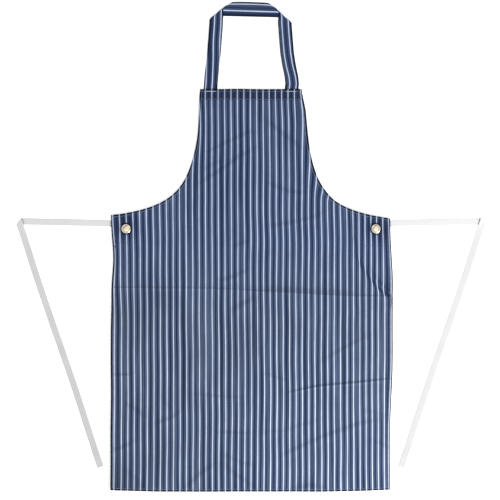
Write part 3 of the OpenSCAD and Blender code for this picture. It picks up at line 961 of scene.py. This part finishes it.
def sew(name, dash, lines, height, pitch=STITCH_PITCH, tilt=0.0, laid=True):
    """Joins copies of a stitch along one or more lines into one piece."""
    seam = bpy.data.objects.new(name, bpy.data.meshes.new(name))
    bpy.context.scene.collection.objects.link(seam)
    stitches = bmesh.new()
    for line in lines:
        for i, (place, angle) in enumerate(walk(line, pitch)):
            lean = tilt * (1 if i % 2 else -1)
            stitch = dash.data.copy()
            stitch.transform(Matrix.Translation((*place, height)) @ Matrix.Rotation(angle + lean, 4, "Z"))
            stitches.from_mesh(stitch)
            bpy.data.meshes.remove(stitch)
    stitches.to_mesh(seam.data)
    stitches.free()
    if laid:
        put(seam, lie(places(seam)))
    for polygon in seam.data.polygons:
        polygon.use_smooth = True
    return seam


# %% Seams of the panel
SEAM_IN = 5.2 * MM
SEAM_Z = TOP_Z + 0.08 * MM
dash = make_dash(2.7 * MM, THREAD_D)


def inset_armhole(depth):
    """The right armhole's line moved into the cloth."""
    along = np.gradient(armhole, axis=0)
    along /= np.linalg.norm(along, axis=1)[:, None]
    return armhole - depth * np.stack([-along[:, 1], along[:, 0]], 1)


seam_x = SIDE_X - SEAM_IN
armhole_seam = inset_armhole(SEAM_IN)
bib_seam_y = (hem_seam_low.y + hem_seam_high.y) / 2
xs = np.linspace(-seam_x, seam_x, 41)
bottom_line = np.stack([xs, BOTTOM_Y + SEAM_IN - bow(xs)], 1)
patch_low, patch_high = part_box("patch_thread_right")
patch_line = [[patch_low.x, patch_high.y], [patch_low.x, patch_low.y], [patch_high.x, patch_low.y]]


def flipped(line):
    """The line's mirror image on the left."""
    return np.array(line) * (-1, 1)


edge_lines = {
    "armhole_stitches": armhole_seam,
    "side_stitches": [[seam_x, BOTTOM_Y + SEAM_IN], [seam_x, CORNER_Y - EDGE_HEM]],
    "patch_stitches": patch_line,
}
seams = {}
for kind, line in edge_lines.items():
    seams[f"{kind}_right"] = sew(f"{kind}_right", dash, [line], SEAM_Z)
for kind, line in edge_lines.items():
    seams[f"{kind}_left"] = sew(f"{kind}_left", dash, [flipped(line)], SEAM_Z)
BIB_TOP_SEAM_IN = 5.6 * MM
bib_rows = (bib_seam_y, BIB_Y - BIB_TOP_SEAM_IN)
bib_lines = [[[-BIB_X + 2 * MM, row], [BIB_X - 2 * MM, row]] for row in bib_rows]
seams["bib_stitches"] = sew("bib_stitches", dash, bib_lines, SEAM_Z)
seams["bottom_stitches"] = sew("bottom_stitches", dash, [bottom_line], SEAM_Z)
print("seams", {name: len(seam.data.polygons) for name, seam in seams.items()})

# %% Bar tacks across the strap's ends
tack_low, tack_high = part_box("bar_tack_right")
tack_y = (tack_low.y + tack_high.y) / 2
tack_dash = make_dash(2.3 * MM, 0.62 * MM)
tack_line = [[tack_low.x, tack_y], [tack_high.x, tack_y]]
tack_look = {"height": TOP_Z + 0.15 * MM, "pitch": 0.75 * MM, "tilt": math.radians(62)}
tack_right = sew("bar_tack_right_thread", tack_dash, [tack_line], **tack_look)
tack_left = sew("bar_tack_left_thread", tack_dash, [flipped(tack_line)], **tack_look)
print("bar tacks", len(tack_right.data.polygons), "faces each")

# %% [markdown]
# ## Ties
# The tape is a narrow strip woven in a herringbone. Close to the eyelet it is bunched so that it
# can pass through the hole; outside the hem it opens to its full width, is folded over once, and
# its far end is turned in and sewn.

# %% Make the tape flat and fold it
TAPE_STEP = 5 * MM
FOLD_ZONE = 12 * MM
out_dir = (TIE_FOLD - TIE_EXIT).normalized()
tail_dir = (TIE_END - TIE_FOLD).normalized()
inward = Vector((tail_dir.y, -tail_dir.x))
run_length = tie_legs[0] + tie_legs[1]
flat_start = TIE_FOLD - out_dir * run_length
tie_right = strip("tie_right_tape", flat_start, out_dir, TAPE_W, TIE_LENGTH, TAPE_STEP, across=7,
                  height=TAPE_T / 2 + 0.02 * MM)
turn_over(tie_right, TIE_FOLD, out_dir + tail_dir, out_dir, TAPE_T + 0.08 * MM, 0.55 * MM)
bpy.ops.object.mode_set(mode="EDIT")
for beside in (0.3 * MM, 1.2 * MM, 2.4 * MM):
    slice_at((*(TIE_FOLD + inward * (TAPE_W / 2 + beside)), 0), (*inward, 0))
bpy.ops.object.mode_set(mode="OBJECT")
co = places(tie_right)
gap = (co[:, :2] - np.array(TIE_FOLD)) @ np.array(inward) - TAPE_W / 2
on_run = co[:, 1] > TIE_FOLD.y - FOLD_ZONE
keep(tie_right, "shade", bell(gap - 1.2 * MM, 1.0 * MM) * (co[:, 2] < TAPE_T) * on_run)


# %% Let the tape lie as it was dropped
def along_and_across(co, start, direction):
    """Each point's distance along a direction, and to the right of it."""
    rel = co[:, :2] - np.array(start)
    return rel @ np.array(direction), rel @ np.array((direction.y, -direction.x))


def line_points(start, direction, d, s):
    """Points at distances d along a line and s to the right of it."""
    right = np.array((direction.y, -direction.x))
    return np.array(start) + d[:, None] * np.array(direction) + s[:, None] * right


def bunch_start(co):
    """Narrows the tape at the eyelet and turns it towards the hole."""
    d, s = along_and_across(co, flat_start, out_dir)
    narrowed = s * (1 - 0.52 * fade(tie_legs[0] - 0.004 - d, 0, 0.036))
    turn = fade(tie_legs[0] + 0.012 - d, 0, 0.024)[:, None]
    first_dir = (TIE_EXIT - tie_start).normalized()
    mixed = line_points(flat_start, out_dir, d, narrowed) * (1 - turn)
    mixed += line_points(tie_start, first_dir, d, narrowed) * turn
    near_start = on_run & (d < tie_legs[0] + 0.03)
    co[near_start, :2] = mixed[near_start]
    return d


def drop_tail(co):
    """Lets the tail down beside the skirt, with a slight sway, ripples and a lift at the fold."""
    on_tail = ~on_run
    down, _ = along_and_across(co, TIE_FOLD, tail_dir)
    settle_down = (TAPE_T + 0.04 * MM) * fade(down, 0.02, 0.12)
    co[:, 2] -= np.where(on_tail | (co[:, 2] > TAPE_T), settle_down, 0)
    sway = 1.3 * MM * np.sin(down / 0.10) * fade(down, 0.03, 0.15) * fade(tie_legs[2] - down, 0.0, 0.2)
    co[:, :2] += np.where(on_tail, sway, 0)[:, None] * np.array((-tail_dir.y, tail_dir.x))
    ripple = 0.5 * MM * (1 + np.sin(down / 0.019 + 1.7 * np.sin(down / 0.05))) * fade(down, 0.03, 0.12)
    co[:, 2] += np.where(on_tail, ripple, 0)
    _, inner = along_and_across(co, TIE_FOLD, tail_dir)
    tail_top = on_tail | (co[:, 2] > TAPE_T + 0.3 * MM)
    fold_lift = 1.5 * MM * fade(inner, -2 * MM, 8 * MM) * bell(down + 2 * MM, 14 * MM)
    co[:, 2] += np.where(tail_top, fold_lift, 0)


TABLE_GAP = 0.28 * MM
d = bunch_start(co)
drop_tail(co)
ripple_run = 0.3 * MM * (1 + np.sin(d / 0.021 + 1.0)) * fade(d, 0.06, 0.09)
ripple_run *= fade(run_length - 0.03 - d, 0, 0.05)
co[:, 2] += np.where(on_run & (co[:, 2] < TAPE_T), ripple_run, 0)
co[:, 2] += TABLE_GAP
put(tie_right, co)
thicken(tie_right, TAPE_T, 0.2 * MM)
smooth(tie_right, 50)
print("tie", len(tie_right.data.polygons), "faces, lowest", round(places(tie_right)[:, 2].min() / MM, 2))

# %% [markdown]
# ## Stopper knots
# The tape's end comes up through the eyelet and is tied in a tight overhand knot, too big to slip
# back. A closed overhand knot is the curve that mathematicians call a trefoil: a formula gives its
# turns, and a round bevel gives the bunched tape its body.


# %% Knot with its neck in the hole
def make_knot():
    """The right-hand knot's body: a flattened trefoil over the eyelet, with its centre and height."""
    low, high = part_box("tie_knot_right")
    rope = 2.5 * MM
    unit = ((high.x - low.x) / 2 - 0.9 * MM - rope) / 3
    centre = EYELET + Vector((-1.0 * MM, 1.0 * MM, 0))
    lift = eyelet_high.z + 0.1 * MM + rope + 0.35 * MM
    bpy.ops.object.select_all(action="DESELECT")
    bpy.ops.curve.primitive_nurbs_path_add(location=(0, 0, 0))
    knot = bpy.context.object
    spline = knot.data.splines[0]
    count = 60
    spline.points.add(count - len(spline.points))
    for i, point in enumerate(spline.points):
        t = math.tau * i / count
        reach = 2 + 0.85 * math.cos(3 * t)
        turn = 2 * t + 0.9
        point.co = (centre.x + unit * reach * math.cos(turn), centre.y + unit * reach * math.sin(turn),
                    lift + 0.75 * unit * math.sin(3 * t), 1)
    spline.use_cyclic_u = True
    knot.data.dimensions = "3D"
    knot.data.resolution_u = 2
    knot.data.bevel_depth = rope
    knot.data.bevel_resolution = 3
    bpy.ops.object.convert(target="MESH")
    return settle(bpy.context.object, "tie_knot_right_tape"), centre, lift


knot_right, knot_centre, knot_lift = make_knot()
neck_outline = [(0.05 * MM, TAPE_T), (4.7 * MM, TAPE_T), (4.4 * MM, TAPE_T + 1.2 * MM),
                (3.4 * MM, knot_lift + 0.4 * MM), (2.2 * MM, knot_lift + 1.6 * MM),
                (0.05 * MM, knot_lift + 2.0 * MM)]
neck = spun("knot_neck", neck_outline, knot_centre, steps=24)
END_DIR = (-0.8, 0.6)
END_W, END_LENGTH, END_STEP = 6.5 * MM, 7.5 * MM, 1.2 * MM
end_start = knot_centre.to_2d() + Vector((-2 * MM, 1.5 * MM))
knot_end = strip("knot_end", end_start, END_DIR, END_W, END_LENGTH, END_STEP, across=6,
                 height=knot_lift + 0.2 * MM)
thicken(knot_end, 1.0 * MM, 0.25 * MM)
join(knot_right, neck)
join(knot_right, knot_end)
settle(knot_right, "tie_knot_right_tape")
smooth(knot_right, 60)
knot_size = places(knot_right).max(0) - places(knot_right).min(0)
print("knot", len(knot_right.data.polygons), "faces, box", [round(v / MM, 1) for v in knot_size])

# %% Seams across the tape's end and along the neck strap
tail_side = Vector((-tail_dir.y, tail_dir.x))
fine_dash = make_dash(1.7 * MM, 0.42 * MM)
end_lines = []
for back in (4 * MM, 8 * MM):
    middle = TIE_END - tail_dir * back
    end_lines.append([list(middle - tail_side * 6.5 * MM), list(middle + tail_side * 6.5 * MM)])
end_stitches_right = sew("tie_end_stitches_right", fine_dash, end_lines, 2.1 * TAPE_T, pitch=2.1 * MM,
                         laid=False)
STRAP_SEAM_IN = 2.6 * MM
STRAP_SEAM_ENDS = (14 * MM, 178 * MM)
leg_side = Vector((-up_left.y, up_left.x))
inner_shift = -leg_side * (STRAP_W / 2 - STRAP_SEAM_IN)
left_line = [list(left_foot + up_left * along + inner_shift) for along in STRAP_SEAM_ENDS]
strap_lines = [left_line, flipped(left_line)]
strap_stitches = sew("strap_stitches", dash, strap_lines, LEG_Z + STRAP_T / 2 + 0.1 * MM, laid=False)
put(strap_stitches, drop_strap(places(strap_stitches)))
for pattern in (dash, tack_dash, fine_dash):
    bpy.data.objects.remove(pattern)
print("tape end and strap stitched")

# %% Mirror the pieces that come in pairs
patch_left = mirrored(patch_right, "patch_left_cloth")
tie_left = mirrored(tie_right, "tie_left_tape")
knot_left = mirrored(knot_right, "tie_knot_left_tape")
end_stitches_left = mirrored(end_stitches_right, "tie_end_stitches_left")

# %% [markdown]
# ## Finishes
# Shader maths reads best as plain expressions. Wire holds one socket and turns operators such as +
# and * into Math nodes, and Finish holds one material and adds any other node by its type.


# %% Wire and Finish
class Wire:
    """One output socket, with arithmetic that builds Math nodes."""

    def __init__(self, finish, socket):
        self.finish = finish
        self.socket = socket

    def math(self, operation, *others):
        values = dict(enumerate((self, *others)))
        node = self.finish.node("ShaderNodeMath", {"operation": operation}, values)
        return Wire(self.finish, node.outputs[0])

    def __add__(self, other):
        return self.math("ADD", other)

    __radd__ = __add__

    def __sub__(self, other):
        return self.math("SUBTRACT", other)

    def __rsub__(self, other):
        return (self * -1).math("ADD", other)

    def __mul__(self, other):
        return self.math("MULTIPLY", other)

    __rmul__ = __mul__

    def __truediv__(self, other):
        return self.math("DIVIDE", other)

    def sin(self):
        return self.math("SINE")

    def abs(self):
        return self.math("ABSOLUTE")

    def nearest(self, period):
        """Signed distance to the nearest multiple of a period."""
        return self.math("WRAP", period / 2, -period / 2)

    def clamp(self):
        return self.math("MAXIMUM", 0.0).math("MINIMUM", 1.0)

    def band(self, half, soft):
        """1 where the value is within half of zero, fading out over soft."""
        return ((half + soft - self.abs()) / soft).clamp()


class Finish:
    """One material and its nodes."""

    def __init__(self, name, **constants):
        self.material = bpy.data.materials.new(name)
        self.material.use_nodes = True
        self.tree = self.material.node_tree
        self.shader = self.tree.nodes["Principled BSDF"]
        for key, value in constants.items():
            self.shader.inputs[key.replace("_", " ")].default_value = value

    def node(self, kind, settings=None, values=None):
        node = self.tree.nodes.new(kind)
        for key, value in (settings or {}).items():
            setattr(node, key, value)
        for key, value in (values or {}).items():
            self.set(node.inputs[key], value)
        return node

    def set(self, socket, value):
        if isinstance(value, Wire):
            self.tree.links.new(value.socket, socket)
        else:
            socket.default_value = value

    def wire(self, node, output=0):
        return Wire(self, node.outputs[output])

    def flat_map(self):
        """The two coordinates of the cloth's own flat map, in metres."""
        uv = self.node("ShaderNodeUVMap", {"uv_map": "cloth"})
        split = self.node("ShaderNodeSeparateXYZ", None, {0: self.wire(uv)})
        return self.wire(split, 0), self.wire(split, 1), self.wire(uv)

    def stretched(self, vector, factors):
        """The vector with each coordinate scaled by its own factor."""
        node = self.node("ShaderNodeMapping", {"vector_type": "TEXTURE"}, {"Vector": vector})
        node.inputs["Scale"].default_value = [1 / f for f in factors]
        return self.wire(node)

    def noise(self, vector, scale, detail=3.0, roughness=0.55):
        node = self.node("ShaderNodeTexNoise", None,
                         {"Vector": vector, "Scale": scale, "Detail": detail, "Roughness": roughness})
        return self.wire(node, "Fac" if "Fac" in node.outputs else 0)

    def mix(self, factor, first, second):
        node = self.node("ShaderNodeMix", {"data_type": "RGBA"}, {0: factor, 6: first, 7: second})
        return self.wire(node, 2)

    def tinted(self, factor, colour, tint):
        """The colour multiplied by a tint, as far as factor says."""
        node = self.node("ShaderNodeMix", {"data_type": "RGBA", "blend_type": "MULTIPLY"},
                         {0: factor, 6: colour, 7: tint})
        return self.wire(node, 2)

    def attribute(self, name):
        return self.wire(self.node("ShaderNodeAttribute", {"attribute_name": name}), "Fac")

    def bump(self, height, distance, strength=1.0):
        values = {"Strength": strength, "Distance": distance, "Height": height}
        return self.wire(self.node("ShaderNodeBump", None, values))

    def feed(self, **wires):
        for key, value in wires.items():
            self.set(self.shader.inputs[key.replace("_", " ")], value)


def dress(piece, finish):
    """Gives a piece its finish."""
    piece.data.materials.clear()
    piece.data.materials.append(finish.material)


# %% [markdown]
# ### The striped cloth
# A fine twill with a white stripe, about 3 mm wide, every 16.3 mm. Between two white stripes the
# ground is slate near the stripes, where pale pin lines alternate with navy, and plain dark navy
# in the middle. The pattern is drawn on the cloth's own flat map, so it bends with every wave and
# turns with every fold. Where the cloth is doubled it looks darker. Painted shade darkens its cut
# edge most, where the hem rolls under, and lies along the creases and round the eyelets.

# %% Stripe, pin lines and weave
STRIPE = 16.27 * MM
WHITE_HALF = 1.05 * MM
CORE_AT, CORE_HALF = 8.15 * MM, 1.75 * MM
SLATE_AT, SLATE_HALF = 4.35 * MM, 2.2 * MM
PIN_PITCH, PIN_HALF = 1.15 * MM, 0.24 * MM
TWILL_PITCH = 0.75 * MM
GROUND_DARK = (0.046, 0.066, 0.125, 1)
GROUND_PALE = (0.072, 0.100, 0.169, 1)
PIN_PALE = (0.125, 0.164, 0.251, 1)
CORE_NAVY = (0.009, 0.019, 0.058, 1)
FLECK = (0.085, 0.115, 0.17, 1)
WHITE_THREAD = (0.730, 0.807, 0.948, 1)
WHITE_WORN = (0.501, 0.567, 0.709, 1)
NEARLY_BLACK = (0.004, 0.005, 0.009, 1)
HEAD_TINT = (0.945, 1.0, 1.115, 1)


def striped_cloth(name):
    finish = Finish(name, Roughness=0.6, Specular_IOR_Level=0.09, Sheen_Weight=0.01, Sheen_Roughness=0.4)
    u, v, uv = finish.flat_map()
    wander = (finish.noise(uv, 9.0, 2.0) - 0.5) * (0.9 * MM)
    thread = (finish.noise(uv, 900.0, 1.0) - 0.5) * (0.35 * MM)
    from_white = (u + wander + thread).nearest(STRIPE)
    away = from_white.abs()
    white = from_white.band(WHITE_HALF, 0.5 * MM)
    core = (away - CORE_AT).band(CORE_HALF, 0.8 * MM)
    slate = away - SLATE_AT
    pins = slate.nearest(PIN_PITCH).band(PIN_HALF, 0.22 * MM) * slate.band(SLATE_HALF, 0.4 * MM)
    cloud = finish.noise(uv, 16.0, 4.0)
    streak = finish.noise(finish.stretched(uv, (60.0, 7.0, 1.0)), 1.0, 3.0)
    fleck = finish.noise(uv, 420.0, 2.0)
    blotch = finish.noise(finish.stretched(uv, (34.0, 17.0, 1.0)), 1.0, 4.0)
    grain = finish.noise(finish.stretched(uv, (230.0, 2.0, 1.0)), 1.0, 2.0)
    run = finish.noise(finish.stretched(uv, (75.0, 1.5, 1.0)), 1.0, 1.0)
    rim = finish.attribute("rim")
    edge = ((rim - 0.49) * 8.0).clamp()
    backed = finish.attribute("backed")
    pressed = finish.attribute("pressed")
    crease = finish.attribute("crease")
    hollow = finish.attribute("hollow")
    ground = finish.mix((streak * 1.5 - 0.35).clamp(), GROUND_DARK, GROUND_PALE)
    ground = finish.mix(pins * 0.75, ground, PIN_PALE)
    ground = finish.mix(core * (0.62 + streak * 0.45), ground, CORE_NAVY)
    ground = finish.mix((grain * 10.0 - 5.2).clamp() * 0.85, ground, CORE_NAVY)
    ground = finish.mix((4.6 - grain * 10.0).clamp() * 0.6, ground, PIN_PALE)
    ground = finish.mix((fleck * 0.3).clamp() * (1 - core), ground, FLECK)
    # hollow also paints shade into the ground in the hollows beside the pulled wrinkle.
    ground = finish.mix((backed * 0.62).math("MAXIMUM", hollow * (0.45 + fleck * 0.8)), ground, CORE_NAVY)
    chalk = finish.mix((cloud * 0.8 + run * 1.6 - 0.85).clamp(), WHITE_THREAD, WHITE_WORN)
    colour = finish.mix(white, ground, chalk)
    # Painted shade along the cut edge, nearly black where the side hems roll under.
    colour = finish.mix(edge * (0.92 - white * 0.72), colour, NEARLY_BLACK)
    colour = finish.mix(((rim - 0.92) * 5.0).clamp() * 0.9, colour, NEARLY_BLACK)
    doubled = ((backed - 0.85) * 7.0).clamp()
    colour = finish.mix(doubled * 0.20, colour, NEARLY_BLACK)
    # Painted shadow round each eyelet's flange (pressed), along creases and in broad patches (crease), and
    # in the hollows (hollow).
    shadow = (pressed * 0.96).math("MAXIMUM", crease * 0.5).math("MAXIMUM", hollow * 0.16)
    colour = finish.mix(shadow, colour, NEARLY_BLACK)
    colour = finish.mix((blotch * 1.5 - 0.5).clamp() * 0.34, colour, CORE_NAVY)
    colour = finish.tinted(((v + 0.18) * 5.0).clamp() * 0.78 + 0.22, colour, HEAD_TINT)
    twill = ((u + v) * (math.tau / TWILL_PITCH)).sin() * 0.5 + 0.5
    weave = twill * 0.7 + fleck * 0.6
    finish.feed(Base_Color=colour, Roughness=0.5 + cloud * 0.2, Normal=finish.bump(weave, 0.08 * MM, 0.6))
    return finish


panel_finish = striped_cloth("striped_cloth")
for piece in (panel, patch_right, patch_left, strap):
    dress(piece, panel_finish)
print("cloth finish", panel_finish.material.name)

# %% [markdown]
# ### Tape, thread and brass
# The tape is bleached cotton woven in a herringbone: slanting ribs that change direction every few
# millimetres. Thread gets a fine twist. Brass is a bare metal with fine turning marks and a film
# of tarnish that gathers in patches.


# %% Herringbone tape
HERRINGBONE_W = 4.1 * MM
RIB_PITCH = 1.15 * MM
SELVEDGE_X = 7.6 * MM


def herringbone_tape(name, tint):
    finish = Finish(name, Roughness=0.9, Specular_IOR_Level=0.06)
    u, v, uv = finish.flat_map()
    zigzag = u.nearest(HERRINGBONE_W).abs()
    rib = ((v + zigzag) * (math.tau / RIB_PITCH)).sin() * 0.5 + 0.5
    cloud = finish.noise(uv, 30.0, 3.0)
    fibre = finish.noise(uv, 1500.0, 2.0)
    selvedge = (u.abs() - SELVEDGE_X).band(0.3 * MM, 0.3 * MM)
    dark = tuple(0.80 * c for c in tint[:3]) + (1,)
    colour = finish.mix((rib * 0.35 + cloud * 0.3 + selvedge * 0.25).clamp(), tint, dark)
    # The tape is darker past the fold, and darker still towards its far end.
    tail_darkening = ((v - 0.30) * 1.6).clamp() * 0.18 + ((v - 0.25) * 12.0).clamp() * 0.08
    colour = finish.mix(tail_darkening, colour, NEARLY_BLACK)
    colour = finish.mix(finish.attribute("shade") * 0.8, colour, (0.12, 0.12, 0.12, 1))
    finish.feed(Base_Color=colour, Normal=finish.bump(rib * 0.8 + fibre * 0.5, 0.12 * MM, 0.7))
    return finish


def sewing_thread(name, colour):
    finish = Finish(name, Roughness=0.6, Specular_IOR_Level=0.35, Sheen_Weight=0.15)
    place = finish.wire(finish.node("ShaderNodeTexCoord"), "Object")
    split = finish.node("ShaderNodeSeparateXYZ", None, {0: place})
    along = finish.wire(split, 0) + finish.wire(split, 1) * 1.3
    twist = (along * (math.tau / (0.4 * MM))).sin() * 0.5 + 0.5
    dark = tuple(0.55 * c for c in colour[:3]) + (1,)
    finish.feed(Base_Color=finish.mix(twist * 0.6, colour, dark), Normal=finish.bump(twist, 0.05 * MM, 0.6))
    return finish


def knotted_tape(name, tint):
    """Bunched tape has no flat map left, so its ribs follow its place."""
    finish = Finish(name, Roughness=0.85, Specular_IOR_Level=0.25, Sheen_Weight=0.2)
    place = finish.wire(finish.node("ShaderNodeTexCoord"), "Object")
    fibre = finish.noise(place, 1600.0, 3.0)
    cloud = finish.noise(place, 260.0, 3.0)
    split = finish.node("ShaderNodeSeparateXYZ", None, {0: place})
    ribs = ((finish.wire(split, 0) * 0.8 + finish.wire(split, 1) + finish.wire(split, 2) * 1.4)
            * (math.tau / (1.0 * MM))).sin() * 0.5 + 0.5
    dark = tuple(0.72 * c for c in tint[:3]) + (1,)
    finish.feed(Base_Color=finish.mix((ribs * 0.4 + cloud * 0.3).clamp(), tint, dark),
                Normal=finish.bump(ribs * 0.8 + fibre * 0.6, 0.15 * MM, 0.8))
    return finish


def rolled_brass(name):
    finish = Finish(name, Metallic=1.0, Roughness=0.26)
    place = finish.wire(finish.node("ShaderNodeTexCoord"), "Object")
    tarnish = finish.noise(place, 190.0, 4.0)
    scratch = finish.noise(place, 1400.0, 2.0)
    colour = finish.mix((tarnish * 1.6 - 0.45).clamp(), (0.98, 0.93, 0.80, 1), (0.80, 0.68, 0.47, 1))
    finish.feed(Base_Color=colour, Roughness=0.18 + tarnish * 0.22 + scratch * 0.06,
                Normal=finish.bump(scratch, 0.03 * MM, 0.35))
    return finish


tape_finish = herringbone_tape("white_tape", (0.775, 0.765, 0.765, 1))
# The knot's cream tint is a painted reflection of the brass eyelet round it; the tape itself is white.
knot_finish = knotted_tape("white_tape_knotted", (0.90, 0.78, 0.58, 1))
thread_finish = sewing_thread("seam_thread", (0.34, 0.38, 0.47, 1))
navy_thread_finish = sewing_thread("seam_thread_navy", (0.06, 0.08, 0.15, 1))
tack_finish = sewing_thread("tack_thread", (0.88, 0.90, 0.95, 1))
tape_thread_finish = sewing_thread("tape_thread", (0.62, 0.62, 0.64, 1))
brass_finish = rolled_brass("eyelet_brass")
washers = [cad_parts[f"washer_{side}"] for side in ("left", "right")]
patch_seams = [seams[f"patch_stitches_{side}"] for side in ("left", "right")]
for pieces, finish in (((*seams.values(), strap_stitches), thread_finish),
                       (patch_seams, navy_thread_finish),
                       ((tack_left, tack_right), tack_finish),
                       ((tie_left, tie_right), tape_finish),
                       ((knot_left, knot_right), knot_finish),
                       ((end_stitches_left, end_stitches_right), tape_thread_finish),
                       ((eyelet_left, eyelet_right, *washers), brass_finish)):
    for piece in pieces:
        dress(piece, finish)

table_finish = Finish("lit_table", Roughness=0.9, Specular_IOR_Level=0.1, Base_Color=(0.93, 0.93, 0.93, 1),
                      Emission_Color=(1, 1, 1, 1), Emission_Strength=0.42)
dress(table, table_finish)
print("finishes", len(bpy.data.materials))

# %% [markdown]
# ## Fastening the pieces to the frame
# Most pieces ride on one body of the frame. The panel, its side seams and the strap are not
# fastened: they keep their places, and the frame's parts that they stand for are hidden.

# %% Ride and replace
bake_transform(panel)
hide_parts("panel_upper", "panel_skirt")
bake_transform(strap)
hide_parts("neck_strap", "strap_end_left", "strap_end_right")
for side in ("left", "right"):
    seam = seams[f"side_stitches_{side}"]
    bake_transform(seam)
    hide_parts(f"waist_thread_{side}", f"skirt_thread_{side}")


def fasten(piece, body, slot, *nodes):
    """Lets a piece ride on a body and take the place of the frame's nodes."""
    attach(piece, body)
    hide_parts(*nodes)


for side, patch, tie, knot, end, eyelet, tack in (
        ("left", patch_left, tie_left, knot_left, end_stitches_left, eyelet_left, tack_left),
        ("right", patch_right, tie_right, knot_right, end_stitches_right, eyelet_right, tack_right)):
    fasten(patch, "panel", "striped_cloth", f"patch_{side}")
    fasten(eyelet, "panel", "eyelet_brass", f"eyelet_{side}")
    fasten(tack, "panel", "tack_thread", f"bar_tack_{side}")
    fasten(seams[f"armhole_stitches_{side}"], "panel", "seam_thread", f"armhole_thread_{side}")
    fasten(seams[f"patch_stitches_{side}"], "panel", "seam_thread", f"patch_thread_{side}")
    fasten(tie, f"{side}_tie", "white_tape", f"tie_{side}")
    fasten(knot, f"{side}_tie", "white_tape", f"tie_knot_{side}")
    fasten(end, f"{side}_tie", "tape_thread", f"tie_end_thread_{side}")
fasten(seams["bib_stitches"], "panel", "seam_thread", "bib_hem_thread")
fasten(seams["bottom_stitches"], "skirt", "seam_thread", "bottom_thread")
fasten(strap_stitches, "neck_loop", "seam_thread", "strap_thread")

half_outline = np.concatenate([[[0, BIB_Y]], armhole, [[SIDE_X, BOTTOM_Y], [0, BOTTOM_Y - BOTTOM_BOW]]])
x, y = half_outline.T
area = 2 * 0.5 * abs(np.dot(x, np.roll(y, 1)) - np.dot(y, np.roll(x, 1)))
for side, tie, knot, end, sign in (("left", tie_left, knot_left, end_stitches_left, -1),
                                   ("right", tie_right, knot_right, end_stitches_right, 1)):
    route = [tie_start, TIE_EXIT]
    route += [TIE_EXIT.lerp(TIE_FOLD, i / 6) for i in range(1, 7)]
    route += [TIE_FOLD.lerp(TIE_END, i / 14) for i in range(1, 15)]
    path = [(sign * p.x, p.y, TAPE_T) for p in route]
    sign * EYELET.x
print("cut area", round(float(area), 4), "m2")
